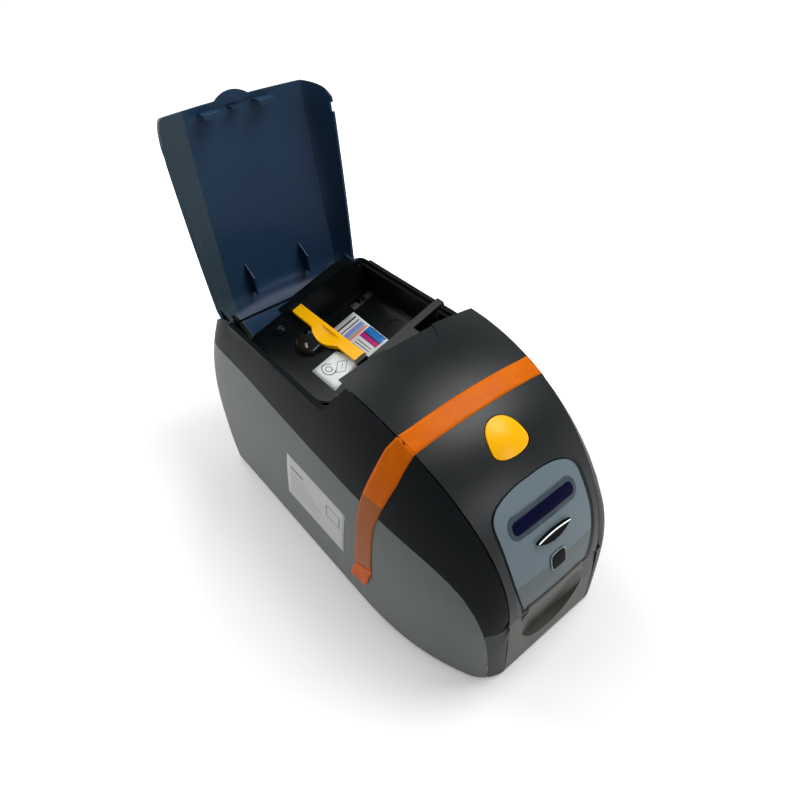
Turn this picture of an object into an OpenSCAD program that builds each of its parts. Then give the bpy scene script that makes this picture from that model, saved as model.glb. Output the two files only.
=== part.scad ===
// Desktop card printer with a hinged front cover and a hinged lid over the card feeder.
// Millimetres. +Z is up, the front faces -Y, +X is right as seen from the front.
// The origin is on the table under the middle of the casing. The lid is drawn open.

/* [Casing] */
// Overall width of the casing
body_w = 199; // [190:1:230]
// Overall depth of the casing
body_d = 368; // [360:1:400]
// Height of the rubber feet under the casing
foot_h = 3; // [2:0.5:6]
// Height of the creases between the cover and the flanks
crease_h = 218; // [214:1:236]
// Rise of the cover and the lid between the creases
crown = 6; // [2:0.5:9]
// Rise of the cover at its lower front edge
crown_front = 1.5; // [1:0.5:3]
// Half width of the casing at the nose, before its corners are rounded
nose_half = 67.5; // [64:0.5:78]
// Radius of the upright front corners
front_corner = 16; // [12:1:20]
// Radius of the upright rear corners
rear_corner = 8; // [5:1:12]
// Half the distance between the creases at the rear
crease_rear = 68; // [66:0.5:74]
// Half the distance between the creases at the nose
crease_front = 50.6; // [50:0.1:52]
// Height at which the flanks bulge out most
belly_h = 45; // [30:1:60]
// How far the sides run in below the bulge
belly_in = 1.5; // [0:0.5:3]
// Thickness of the side panels and the casing walls
wall = 2.5; // [2:0.1:3]
// Gap between neighbouring shells
seam = 0.4; // [0.3:0.05:0.8]

/* [Side panels] */
// Height of the side panel's upper edge halfway along the casing
panel_h = 150; // [130:1:156]
// Rise of that edge for each millimetre towards the rear
panel_slope = 0.07; // [0:0.01:0.09]

/* [Front cover] */
// Distance of the cover's rear edge in front of the middle of the casing
cover_rear = 14; // [13:0.5:15]
// Thickness of the cover
cover_t = 3; // [2.5:0.1:3.5]
// Height of the cover's lower edge
cover_low = 73.5; // [73:0.5:78]
// Distance of the hinge pin in front of the cover's rear edge
cover_pin_in = 4; // [3:0.5:5]
// Distance of the hinge pin below the creases
cover_pin_down = 9; // [8:0.5:11]
// Radius of both hinge pins' shafts
pin_r = 2; // [1.5:0.1:2.5]
// Radial clearance of a pin or shaft in its bore
run_gap = 0.05; // [0.02:0.01:0.1]

/* [Front controls] */
// Half width of the display panel
disp_half_w = 43.4; // [40:0.2:44]
// Height of the display panel's upper edge
disp_top = 169.8; // [168:0.2:176]
// Height of the display panel's lower edge
disp_low = 79.5; // [78:0.5:84]
// Depth of the display panel below the cover
disp_sink = 0.8; // [0.4:0.1:1.2]
// Width of the display window
lcd_w = 62; // [50:1:66]
// Height of the display window
lcd_h = 8; // [6:0.5:10]
// Radius of the release button
release_r = 16.5; // [13:0.5:17]
// Width of the crescent control button
key_w = 36; // [30:1:40]

/* [Output drawer] */
// Width of the drawer
drawer_w = 100.4; // [98:0.2:101]
// Height of the drawer's front above the table
drawer_top = 71.5; // [70:0.5:72]
// Length of the drawer from its front face
drawer_len = 106; // [104:1:120]
// Travel of the drawer
drawer_travel = 85; // [60:1:90]
// Radius of the drawer's finger recess
recess_r = 36; // [30:1:38]
// Height of the finger recess's lower edge
recess_low = 19; // [14:1:26]
// Depth of the finger recess
recess_in = 8.5; // [6:0.5:9]

/* [Card feeder] */
// Tilt of the card feeder, its left side being the lower one
tray_tilt = 17; // [14:0.5:18]
// Depth of the card well below the tray's upper face
well_deep = 38.2; // [34:0.2:40]
// Thickness of the tray's walls
tray_t = 2; // [1.8:0.1:2.6]
// Front of the card well
well_front = 34; // [32:1:37]
// Rear of the card well
well_rear = 147.2; // [146:0.1:147.2]
// Length of the yellow guide bar
bar_len = 101; // [96:1:103]
// Height of the guide bar's upper face above the tray
bar_up = 6; // [5:0.5:7]

/* [Lid] */
// Thickness of the lid
lid_t = 2; // [1.6:0.1:2.4]
// Height of the rim that the lid's sides rest on
rim_h = 190; // [186:1:194]
// Radius of the lid's rounded rear
lid_round = 34; // [30:1:36]
// Distance of the lid hinge in front of the casing's rear
lid_pin_in = 23; // [22.5:0.5:23.5]
// Height of the lid hinge
lid_pin_h = 180; // [178:0.5:182]
// Angle of the open lid
lid_open = 94; // [85:1:96]

/* [Drive] */
// Radius of the rubber rollers
roller_r = 8; // [7:0.2:8.4]
// Length of the rubber rollers
roller_len = 60; // [56:1:64]
// Radius of the roller shafts
shaft_r = 3; // [2.5:0.1:3.4]
// Radius of the belt pulleys
pulley_r = 7; // [6:0.2:8]
// Module of the gears
gear_m = 0.8; // [0.7:0.05:0.9]
// Teeth of the motor pinion
pinion_teeth = 12; // [12:1:14]
// Teeth of the gear on the platen roller
gear_teeth = 36; // [34:1:40]
// Width of both gears
gear_w = 5; // [4:0.5:6]
// Thickness of the two frames
frame_t = 2; // [1.6:0.1:2.2]
// Distance between the frames
frame_gap = 101.6; // [101:0.2:102.4]
// Slope of the card path
path_tilt = 16.15; // [14:0.5:17]
// Height of the card path at the middle of the casing
path_h = 127.8; // [126:0.2:130]

/* [Hidden] */
$fn = 48;
half_w = body_w / 2;
half_d = body_d / 2;
nose_in = half_w - nose_half;
floor_z = foot_h;
floor_t = wall;

// Outer shape of the casing
bend_y = -50;
corner_y = -half_d + front_corner;
prof_a = half_d - crown_front;
prof_z = 70;
prof_b = crease_h - prof_z;
prof_n = 2.2;
shoulder_n = 3.3;
roof_y = 150;
roof_fall = 8;
rear_y = half_d - lid_round;
rim_fall = 17;

function front_cut(y) =
  y > corner_y ? 0 : front_corner - sqrt(max(0, pow(front_corner, 2) - pow(corner_y - y, 2)));
function rear_cut(y) = y < half_d - rear_corner ? 0
  : rear_corner - sqrt(max(0, pow(rear_corner, 2) - pow(y - half_d + rear_corner, 2)));
function nose_share(y) = max(0, (bend_y - y) / (bend_y + half_d));
function plan_half(y) = half_w - nose_in * pow(nose_share(y), 2.5) - front_cut(y) - rear_cut(y);
function crease_half(y) =
  crease_rear - (crease_rear - crease_front) * pow(min(1, max(0, -y) / prof_a), prof_n);
function round_fall(y) =
  y < rear_y ? 0 : lid_round - sqrt(max(0, pow(lid_round, 2) - pow(y - rear_y, 2)));
function crease_z(y) = y < 0
  ? prof_z + prof_b * pow(1 - pow(min(1, -y / prof_a), prof_n), 1 / prof_n)
  : crease_h - roof_fall * pow(min(y, roof_y) / roof_y, 2) - round_fall(y);
function side_x(y, z) = z < belly_h
  ? plan_half(y) - belly_in * pow((belly_h - z) / belly_h, 2)
  : plan_half(y) - (plan_half(y) - crease_half(y))
    * pow(min(1, (z - belly_h) / max(1, crease_z(y) - belly_h)), shoulder_n);
panel_front = half_d - 5;
panel_flat = 110;
panel_round = 14;
function panel_z(y) =
  (panel_h + panel_slope * min(y, panel_flat))
  * pow(max(0, 1 - pow(max(0, -y) / panel_front, 4)), 0.25)
  - (y < half_d - panel_round ? 0
    : panel_round - sqrt(max(0, pow(panel_round, 2) - pow(y - half_d + panel_round, 2))));
rim_turn = 14;
function rim_rise(y) = let(t = min(1, max(0, rim_turn - cover_rear - y) / rim_turn))
  rim_turn * (1 - sqrt(max(0, 1 - t * t)));
function rim_z(y) = rim_h - rim_fall * pow(max(0, y - rear_y) / lid_round, 1.6) + rim_rise(y);

// Direction of the casing's corner in plan, from 0 at the side to 90 at the front or rear
function turn(y) = y < corner_y ? asin(min(1, (corner_y - y) / front_corner))
  : y > half_d - rear_corner ? -asin(min(1, (y - half_d + rear_corner) / rear_corner)) : 0;

// Stations along the casing from the rear to the front
rear_ys = [for (k = [0:14]) rear_y + lid_round * cos(k * 90 / 14)];
mid_ys = concat([for (y = [142:-13:0]) y], [for (k = [0:5]) -cover_rear + rim_turn * cos(k * 17)]);
front_ys = [for (k = [1:15]) -cover_rear - 0.2 + (corner_y + cover_rear) * k / 15];
function corner_ys(last) = [for (a = [8:9:last]) corner_y - front_corner * sin(a)];

// A shell between two grids of points, listed from the rear to the front and upwards
module skin(outer, inner) {
  n = len(outer);
  m = len(outer[0]);
  base = n * m;
  points = concat([for (row = outer) each row], [for (row = inner) each row]);
  faces = concat(
    [for (i = [0:n - 2], j = [0:m - 2]) [i * m + j, i * m + j + 1, (i + 1) * m + j + 1]],
    [for (i = [0:n - 2], j = [0:m - 2]) [i * m + j, (i + 1) * m + j + 1, (i + 1) * m + j]],
    [for (i = [0:n - 2], j = [0:m - 2])
      [base + i * m + j, base + (i + 1) * m + j + 1, base + i * m + j + 1]],
    [for (i = [0:n - 2], j = [0:m - 2])
      [base + i * m + j, base + (i + 1) * m + j, base + (i + 1) * m + j + 1]],
    [for (i = [0:n - 2]) [i * m, (i + 1) * m, base + (i + 1) * m]],
    [for (i = [0:n - 2]) [i * m, base + (i + 1) * m, base + i * m]],
    [for (i = [0:n - 2]) [i * m + m - 1, base + (i + 1) * m + m - 1, (i + 1) * m + m - 1]],
    [for (i = [0:n - 2]) [i * m + m - 1, base + i * m + m - 1, base + (i + 1) * m + m - 1]],
    [for (j = [0:m - 2]) [j, base + j + 1, j + 1]],
    [for (j = [0:m - 2]) [j, base + j, base + j + 1]],
    [for (j = [0:m - 2]) [(n - 1) * m + j, (n - 1) * m + j + 1, base + (n - 1) * m + j + 1]],
    [for (j = [0:m - 2])
      [(n - 1) * m + j, base + (n - 1) * m + j + 1, base + (n - 1) * m + j]]
  );
  polyhedron(points = points, faces = faces);
}

// A point of the left side, moved inwards by t
function left_point(y, z, t) =
  [-side_x(y, z) + t * cos(turn(y)), y + t * sin(turn(y)), z];
function blend(a, b, share) = a + (b - a) * share;

// Boxes, bars and plates placed by their limits
module block(x, y, z) {
  translate([x[0], y[0], z[0]])
    cube([x[1] - x[0], y[1] - y[0], z[1] - z[0]]);
}
module xbar(x, y, z, r) {
  translate([x[0], y, z]) rotate([0, 90, 0]) cylinder(h = x[1] - x[0], r = r);
}
module xslab(x) {
  translate([x[0], 0, 0]) rotate([90, 0, 90]) linear_extrude(x[1] - x[0]) children();
}
module both_sides() {
  children();
  mirror([1, 0, 0]) children();
}

// ---- Lower casing, side panels and upper casing

bay_gap = 1;
bay_half = drawer_w / 2 + bay_gap;
bay_wall = 2.2;
cheek_top = 72;
bay_rear = -half_d + drawer_len + 4;
module lower_casing() {
  inset = wall + seam;
  floor_ys = [half_d - 7, 120, 60, 0, -50, -75, for (in = [84, 64, 44, 29, 18]) -half_d + in];
  color("dimgray") {
    difference() {
      translate([0, 0, floor_z]) linear_extrude(floor_t)
        polygon(concat(
          [for (y = floor_ys) [-plan_half(min(y, half_d - rear_corner)) + inset + belly_in, y]],
          [for (k = [len(floor_ys) - 1:-1:0]) let(y = floor_ys[k])
            [plan_half(min(y, half_d - rear_corner)) - inset - belly_in, y]]));
      for (spot = foot_spots)
        translate([spot[0], spot[1], floor_z - 1]) cylinder(h = floor_t + 2, r = screw_r + run_gap);
    }
    both_sides() block([-bay_half - 7, -bay_half], [-panel_front + 3.1, corner_y + 4],
      [floor_z, floor_z + floor_t]);
    both_sides() block([-bay_half - bay_wall, -bay_half], [-panel_front + 3.1, bay_rear],
      [floor_z, cheek_top]);
    block([-bay_half, bay_half], [bay_rear - bay_wall, bay_rear], [floor_z, cheek_top - 8]);
  }
}

// The cheek beside the drawer: a thick rounded corner between the side panel and the drawer
module front_cheek() {
  ys = concat([-panel_front + 3, -panel_front + 1.6, -panel_front + 0.2, -panel_front - 0.1],
    [for (a = [48:7:90]) corner_y - front_corner * sin(a)]);
  function low(y) = y > -panel_front ? max(floor_z, panel_z(y) + seam) : floor_z;
  outer = [for (y = ys) [for (j = [0:8]) left_point(y, blend(low(y), cheek_top, j / 8), 0)]];
  inner = [for (y = ys) [for (j = [0:8])
    [-bay_half, min(y + 3, -panel_front + 2.6 + 0.2 * (y + panel_front)),
      blend(low(y), cheek_top, j / 8)]]];
  skin(outer, inner);
}
module front_cheeks() { color("#56534f") both_sides() front_cheek(); }

panel_ys = concat(rear_ys, mid_ys, front_ys, corner_ys(35), [-panel_front + 0.2]);
module side_panel() {
  low = foot_h;
  outer = [for (y = panel_ys) [for (j = [0:12])
    left_point(y, blend(low, panel_z(y), j / 12), 0)]];
  inner = [for (y = panel_ys) [for (j = [0:12])
    left_point(y, blend(low, panel_z(y), j / 12), wall)]];
  skin(outer, inner);
}
module side_panel_left() { color("#6f7370") side_panel(); }
module side_panel_right() { color("#6f7370") mirror([1, 0, 0]) side_panel(); }

// Upper edge of the flank: the crease in front of the lid, the rim under it
function flank_top(y) = y < -cover_rear ? crease_z(y) - 0.5 : rim_z(y);
function flank_low(y) = max(panel_z(y) + seam, cheek_top + seam);
flank_ys = concat(rear_ys, mid_ys, [-cover_rear + 0.1], front_ys, corner_ys(62));
flank_tuck = 4.2;
module flank() {
  outer = [for (y = flank_ys) [for (j = [0:9])
    left_point(y, blend(flank_low(y), flank_top(y), j / 9), 0)]];
  inner = [for (y = flank_ys) [for (j = [0:9])
    left_point(y, blend(flank_low(y), flank_top(y), j / 9), wall - 0.3)
      - [0, 0, flank_tuck * pow(j / 9, 4)]]];
  skin(outer, inner);
}

lip_x = 76.8;
lip_t = 2.2;
lip_up = -1.4;
seat_x = side_x(0, rim_h) - 0.5;
rail_h = 4;
rail_z = rim_h - rail_h;
cover_pin_y = -cover_rear - cover_pin_in;
cover_pin_z = crease_h - cover_pin_down;
ear_r = 4;
ear_x = 50;
ear_t = 5;
lip_front = -cover_rear + 10;
lip_corner = 18;
// Plan of the opening under the lid, with rounded front corners
module lip_outline(grow) {
  r = lip_corner + grow;
  side = lip_x + grow;
  polygon(concat([[side, well_rear - 1 + grow / 100], [-side, well_rear - 1 + grow / 100]],
    [for (a = [180:7.5:270]) [-side + r + r * cos(a), lip_front - grow + r + r * sin(a)]],
    [for (a = [270:7.5:360]) [side - r + r * cos(a), lip_front - grow + r + r * sin(a)]]));
}
module upper_casing() {
  color("#232527") {
    difference() {
      union() {
        both_sides() {
          flank();
          // The seat of the lid's sides and the lip inside it
          block([-seat_x, -lip_x], [-cover_rear + 2, well_rear - 1], [rim_h - 7, rim_h]);
          block([-lip_x - lip_t, -lip_x], [8, well_rear - 1], [rim_h - 40, rim_h]);
        }
        translate([0, 0, rim_h - 4]) linear_extrude(lip_up + 4) difference() {
          lip_outline(lip_t);
          lip_outline(0);
        }
        // The rail behind the cover, with the ears of its hinge
        block([-seat_x + 0.5, seat_x - 0.5], [cover_pin_y - 4, -4], [rail_z, rim_h]);
        for (x = [-ear_x - ear_t, ear_x]) {
          block([x, x + ear_t], [cover_pin_y - ear_r, cover_pin_y + ear_r], [rail_z, cover_pin_z]);
          xbar([x, x + ear_t], cover_pin_y, cover_pin_z, ear_r);
        }
        // Catches for the lid's hooks
        for (x = [-hook_x, hook_x])
          block([x - 12, x + 12], [9 - cover_rear, 12.5 - cover_rear], [rim_h, rim_h + 12]);
        // Upper part of the rear wall
        translate([0, -0.05, 0]) {
          rear_plate(panel_z(half_d) + seam, panel_z(half_d) + 11, -4, wall);
          rear_plate(panel_z(half_d) + 9.5, lid_pin_h - 16, 0.8, wall);
        }
      }
      xbar([-half_w, half_w], cover_pin_y, cover_pin_z, pin_r);
    }
  }
}

rear_low = floor_z + floor_t + 0.2;
inlet_x = -58;
inlet_z = 40;
switch_x = -22;
usb_x = 26;
net_x = 52;
port_z = 36;
// A plate across the rear between two heights, following the sides
module rear_plate(low, high, grow, t) {
  zs = [for (k = [0:8]) blend(low, high, k / 8)];
  translate([0, half_d, 0]) rotate([90, 0, 0]) linear_extrude(t) polygon(concat(
    [for (z = zs) [side_x(half_d, z) + grow, z]],
    [for (k = [8:-1:0]) [-side_x(half_d, zs[k]) - grow, zs[k]]]));
}
module rear_panel() {
  color("#2b2d2f") difference() {
    rear_plate(rear_low, panel_z(half_d), -0.5, wall);
    block([inlet_x - 14, inlet_x + 14], [half_d - 9, half_d + 9], [inlet_z - 12, inlet_z + 12]);
    block([switch_x - 10, switch_x + 10], [half_d - 9, half_d + 9], [inlet_z - 7, inlet_z + 7]);
    block([usb_x - 6.5, usb_x + 6.5], [half_d - 9, half_d + 9], [port_z - 5.8, port_z + 5.8]);
    block([net_x - 8.2, net_x + 8.2], [half_d - 9, half_d + 9], [port_z - 7, port_z + 7]);
    for (k = [0:11])
      block([-45 + k * 9, -42 + k * 9], [half_d - 9, half_d + 9], [92, 122]);
  }
}

foot_x = 70;
foot_y = 132;
foot_r = 9;
// One foot near each corner and one in the middle
foot_spots = concat([[0, 0]], [for (x = [-foot_x, foot_x], y = [-foot_y, foot_y]) [x, y]]);
screw_r = 1.5;
module feet() {
  color("#1b1b1b") for (spot = foot_spots) translate([spot[0], spot[1], 0]) {
    cylinder(h = foot_h, r = foot_r);
    cylinder(h = foot_h + floor_t - 0.2, r = screw_r);
  }
}

// ---- Card feeder

tray_z = 180;
shelf_half = (lip_x - 0.1) / cos(tray_tilt);
bar_x = -8;
bar_w = 11;
well_left = bar_x + 1;
well_x = 72.4;
pick_slot_y = 136;
plate_right = 39;
ledge_top = 195;
ledge_w = 12;
bowl_r = 20;
bowl_up = 8;
module tilted() { translate([0, 0, tray_z]) rotate([0, -tray_tilt, 0]) children(); }
function tilt_x(x, z) = x * cos(tray_tilt) - z * sin(tray_tilt);
function tilt_z(x, z) = tray_z + z * cos(tray_tilt) + x * sin(tray_tilt);
floor_right = (well_x + 0.6 - well_deep * sin(tray_tilt)) / cos(tray_tilt);
bowl_x = -28;
bowl_y = 93;
boss_x = -38;
boss_y = 134;
lid_pin_y = half_d - lid_pin_in;
lid_ear_x = 66.5;
lid_ear_t = 3.5;
lid_arm_x = lid_ear_x + lid_ear_t + 0.5;
lid_arm_t = 3;
knuckle_r = 5;
module feeder_tray() {
  color("#26282a") {
    difference() {
      union() {
        tilted() {
          block([-shelf_half, well_left], [8, well_rear + tray_t], [-tray_t, 0]);
          block([well_left - tray_t, well_left], [well_front - tray_t, well_rear + tray_t],
            [-well_deep - tray_t, 0]);
          block([well_left - tray_t, floor_right + 1], [well_front - tray_t, well_rear + tray_t],
            [-well_deep - tray_t, -well_deep]);
          block([well_left - 5, 76], [well_front - 8, well_front], [-tray_t - 2, 0]);
          block([well_left - tray_t, 67], [well_front - tray_t, well_front], [-well_deep - 1, 0]);
          block([-shelf_half, bar_x - bar_w - 3], [well_rear, well_rear + tray_t], [-well_deep / 2 + 3, 1.5]);
          block([well_left - tray_t, 67], [well_rear, well_rear + tray_t], [-well_deep - 1, 0]);
          block([well_left + 2, 76], [well_rear + ledge_w - tray_t, well_rear + ledge_w], [-3, 1.5]);
          block([-25, 77], [well_rear, well_rear + ledge_w], [-4, 0]);
          block([-shelf_half, plate_right], [8, 8 + tray_t], [-12, 0]);
          block([well_left, plate_right], [8, well_front - 6], [-tray_t, 0]);
          for (x = [pick_x - 4.2, pick_x + pick_len + 0.8])
            block([x, x + 2.4], [pick_slot_y - 6, pick_slot_y + 6], [pick_z - 5, -well_deep]);
          translate([bowl_x, bowl_y, bowl_up - bowl_r - tray_t])
            cylinder(h = bowl_r - bowl_up + tray_t, r = bowl_r);
          translate([boss_x, boss_y, 0]) cylinder(h = 1.2, r = 8.5);
        }
        block([well_x, well_x + tray_t], [well_front - 2, well_rear + tray_t],
          [tilt_z(floor_right, -well_deep) - 3, rim_h + lip_up - 1]);
        block([well_x, lip_x - 0.1], [12, well_rear - 1], [rim_h + lip_up - 3, rim_h + lip_up - 1]);
        block([lip_x - 4, lip_x - 0.1], [12, well_front], [rim_h - 4, rim_h + lip_up - 1]);
        lid_ears();
      }
      tilted() {
        translate([bowl_x, bowl_y, bowl_up]) sphere(r = bowl_r, $fn = 96);
        // Slots for the lid's hooks
        for (x = [6, 23]) block([x, x + 9], [13, 16], [-9, 9]);
        translate([44, 76, -well_deep - 0.7]) cylinder(h = 4, r = 11);
        translate([boss_x, boss_y, -9]) cylinder(h = 20, r = screw_r + run_gap);
        translate([boss_x, boss_y, 0.2]) cylinder(h = 20, r = 6.5);
        block([pick_x - 0.6, pick_x + pick_len + 0.6], [pick_slot_y - 6.4, pick_slot_y + 6.4],
          [-well_deep - 5, -well_deep + 9]);
        translate([0, pick_slot_y, pick_z]) rotate([0, 90, 0])
          cylinder(h = pick_x + pick_len + 9, r = pick_shaft_r + run_gap);
        block([well_left + 0.3, well_left + 1.8], [well_front - 9, well_front + 9],
          [-well_deep, -well_deep + 58]);
      }
      xbar([-half_w, half_w], lid_pin_y, lid_pin_h, pin_r);
      // Room under the closed lid
      block([40, half_w], [well_rear - 1, half_d], [ledge_top, crease_h + 20]);
      block([-half_w, -lip_x + 0.1], [0, half_d], [0, crease_h]);
      block([lip_x - 0.1, half_w], [0, half_d], [0, crease_h]);
    }
  }
}
// Ears of the lid hinge: the left one rises from the shelf, the right one leaves the rear wall
module lid_ears() {
  left_foot = tilt_z(-lid_ear_x, 0) - 2;
  right_foot = min(lid_pin_h, tray_z) - 8;
  xslab([-lid_ear_x - lid_ear_t, -lid_ear_x]) polygon([[lid_pin_y - 31, left_foot],
    [well_rear + 1, left_foot], [lid_pin_y - 16, lid_pin_h - 8], [lid_pin_y, lid_pin_h - knuckle_r],
    [lid_pin_y, lid_pin_h + knuckle_r], [lid_pin_y - 12, lid_pin_h + knuckle_r],
    [lid_pin_y - 31, lid_pin_h - 4]]);
  xslab([lid_ear_x, lid_ear_x + lid_ear_t]) polygon([[well_rear + 0.5, right_foot],
    [lid_pin_y - 8, lid_pin_h - 8], [lid_pin_y, lid_pin_h - knuckle_r],
    [lid_pin_y, lid_pin_h + knuckle_r], [well_rear + 0.5, lid_pin_h + knuckle_r + 2]]);
  for (x = [-lid_ear_x - lid_ear_t, lid_ear_x])
    xbar([x, x + lid_ear_t], lid_pin_y, lid_pin_h, knuckle_r);
}
module lid_pins() {
  color("silver") both_sides()
    xbar([-lid_arm_x - lid_arm_t - 1, -lid_ear_x - 0.5], lid_pin_y, lid_pin_h, pin_r);
}

bar_y = 36;
bar_mid = bar_y + bar_len / 2 - 3;
bar_low = 1.4;
bar_pin_x = bar_x - bar_w + 2;
bar_pin_z = bar_low + 1.4;
bar_pin_r = 1;
bulge_out = 6.5;
bulge_r = 35;
bracket_w = 5;
bracket_gap = 0.4;
// Places its children on the guide bar's pivot, with their Z axis along it
module on_bar_pin(y) {
  tilted() translate([bar_pin_x, y, bar_pin_z]) rotate([-90, 0, 0]) children();
}
module guide_bar() {
  color("#ffb400") difference() {
    tilted() difference() {
      union() {
        block([bar_x - bar_w, bar_x], [bar_y, bar_y + bar_len], [bar_low, bar_up]);
        translate([bar_x - bar_w - bulge_out + bulge_r, bar_mid, bar_low])
          cylinder(h = bar_up - bar_low, r = bulge_r, $fn = 128);
      }
      block([bar_x, 80], [bar_y, bar_y + bar_len], [-1, 20]);
      intersection() {
        translate([bar_x - bar_w / 2 - 3, bar_mid, bar_up + 58]) sphere(r = 60, $fn = 128);
        block([-60, bar_x - 3.6], [bar_y, bar_y + bar_len], [-1, 20]);
      }
    }
    on_bar_pin(bar_y - 9) cylinder(h = bar_len + 20, r = bar_pin_r + run_gap);
  }
}
module bar_brackets() {
  color("#202224") difference() {
    tilted() for (y = [bar_y - bracket_gap - bracket_w, bar_y + bar_len + bracket_gap])
      block([bar_x - bar_w - 1, bar_x - 1.6], [y, y + bracket_w], [0, bar_up + 0.8]);
    on_bar_pin(bar_y - 9) cylinder(h = bar_len + 20, r = bar_pin_r);
  }
}
module bar_pin() {
  color("silver") on_bar_pin(bar_y - bracket_gap - bracket_w)
    cylinder(h = bar_len + 2 * (bracket_gap + bracket_w), r = bar_pin_r);
}

// ---- Lid, drawn closed and then swung open

lid_front = -cover_rear + 0.6;
hook_x = 26;
lid_ys = concat([for (k = [0:12]) rear_y + lid_round * cos(k * 90 / 12)],
  [for (k = [1:12]) rear_y + (lid_front - rear_y) * k / 12]);
lid_gap = 0.5;
// Height at which the hinge arms end in the closed lid's sides
arm_top = rim_h - rim_fall + 23.4;
lid_corner = 17;
function lid_fade(y) = max(0, (y - rear_y) / lid_round);
function lid_inset(y) = 2 * min(1, lid_fade(y) * 3);
function lid_crown(y, x) =
  crown * (1 - pow(x / crease_half(y), 2)) * (1 - pow(lid_fade(y), 2));
function lid_flange(y, q, t) =
  let(z = blend(rim_z(y) + lid_gap, crease_z(y) - 0.02, q))
  [-side_x(y, z) + lid_inset(y) + t * 1.1, y - t * lid_fade(y), z - t * q * q * 0.8];
function lid_roof(y, u, t) =
  let(c = crease_half(y) - lid_inset(y) - t * 1.1)
  [u * c, y - t * lid_fade(y), crease_z(y) + lid_crown(y, u * crease_half(y))
    - t * max(0.8, sqrt(max(0, 1 - pow(lid_fade(y), 2))))];
function flip(p) = [-p[0], p[1], p[2]];
function lid_row(y, t) = concat(
  [for (j = [0:5]) lid_flange(y, j / 6, t)],
  [for (j = [0:14]) lid_roof(y, -1 + j / 7, t)],
  [for (j = [5:-1:0]) flip(lid_flange(y, j / 6, t))]);
module closed_lid() {
  difference() {
    skin([for (y = lid_ys) lid_row(y, 0)], [for (y = lid_ys) lid_row(y, lid_t)]);
    // Round front corners
    both_sides() translate([-seat_x + lid_corner, lid_front + lid_corner, 0]) difference() {
      block([-lid_corner - 20, 0], [-lid_corner - 20, 0], [rim_h - 20, crease_h + 20]);
      translate([0, 0, rim_h - 21]) cylinder(h = 80, r = lid_corner, $fn = 96);
    }
    // Notches in the lower edges of the sides
    for (x = [-half_w, half_w - 30])
      block([x, x + 30], [lid_notch_y - 4, lid_notch_y + 4], [rim_h - 3, rim_h + 3]);
  }
  // The low skirt at the rear
  block([-skirt_half, skirt_half], [half_d - lid_t, half_d],
    [rim_h - rim_fall + lid_gap, crease_z(half_d) + 0.6]);
  // Finger tab over the recess of the cover
  intersection() {
    block([-18, 18], [lid_front - 6, lid_front + 4], [crease_h + crown - 3.4, crease_h + crown - 1.6]);
    translate([0, lid_front + 19, crease_h]) cylinder(h = 2 * crown, r = 25);
  }
  // Hooks under the front edge
  for (x = [-hook_x, hook_x]) {
    block([x - 8, x + 8], [lid_front + 5, lid_front + 7], [crease_h - 11, crease_h + 4.2]);
    block([x - 8, x + 8], [lid_front + 5, lid_front + 9], [crease_h - 11, crease_h - 8]);
  }
  block([-5, 5], [lid_front + 6, lid_front + 8], [crease_h - 4, crease_h + 5]);
  // Ribs and hinge arms
  for (x = [-31, 30])
    xslab([x, x + 1.4]) polygon(concat(
      [for (y = [rear_y - 22:5:rear_y + 8]) [y, crease_z(y) + lid_crown(y, x) - 1]],
      [[rear_y + 8, crease_z(rear_y) - 9], [rear_y - 10, crease_z(rear_y) - 10]]));
  both_sides() difference() {
    xslab([-lid_arm_x - lid_arm_t, -lid_arm_x]) union() {
      polygon([[lid_pin_y - knuckle_r, lid_pin_h], [lid_pin_y + knuckle_r, lid_pin_h],
        [lid_pin_y + 4, arm_top], [lid_pin_y - 9, arm_top]]);
      translate([lid_pin_y, lid_pin_h]) circle(r = knuckle_r);
    }
    xbar([-half_w, half_w], lid_pin_y, lid_pin_h, pin_r + run_gap);
  }
}
lid_notch_y = 9;
skirt_half = crease_half(half_d) - 1;
module lid() {
  color([0.12, 0.18, 0.3, 0.8]) translate([0, lid_pin_y, lid_pin_h]) rotate([-lid_open, 0, 0])
    translate([0, -lid_pin_y, -lid_pin_h]) closed_lid();
}

// ---- Front cover and its controls

// The cover's profile by its height, its outward direction and its rise between the creases
function prof_y(z) = -prof_a * pow(1 - pow(max(0, z - prof_z) / prof_b, prof_n), 1 / prof_n);
function prof_dir(z) = let(
    a = pow(-prof_y(z) / prof_a, prof_n - 1) / prof_a,
    b = pow(max(0, z - prof_z) / prof_b, prof_n - 1) / prof_b)
  [-a, b] / norm([a, b]);
function cover_rise(z) = crown_front + (crown - crown_front) * (z - prof_z) / prof_b;
function cover_point(z, x, up) = let(
    d = prof_dir(z),
    h = cover_rise(z) * (1 - pow(x / crease_half(prof_y(z)), 2)) + up)
  [x, prof_y(z) + d[0] * h, z + d[1] * h];
cover_edge = 0.45;
cover_rear_z = crease_z(-cover_rear);
cover_start = asin(pow(cover_rear / prof_a, prof_n / 2));
cover_end = acos(pow((cover_low - prof_z) / prof_b, prof_n / 2));
cover_zs = [for (k = [0:36])
  prof_z + prof_b * pow(cos(blend(cover_start, cover_end, k / 36)), 2 / prof_n)];
module cover_shell() {
  skin(
    [for (z = cover_zs) [for (j = [-8:8])
      cover_point(z, (crease_half(prof_y(z)) - cover_edge) * j / 8, 0)]],
    [for (z = cover_zs) [for (j = [-8:8])
      cover_point(z, (crease_half(prof_y(z)) - cover_edge - 1.6) * j / 8, -cover_t)]]);
}
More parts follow.
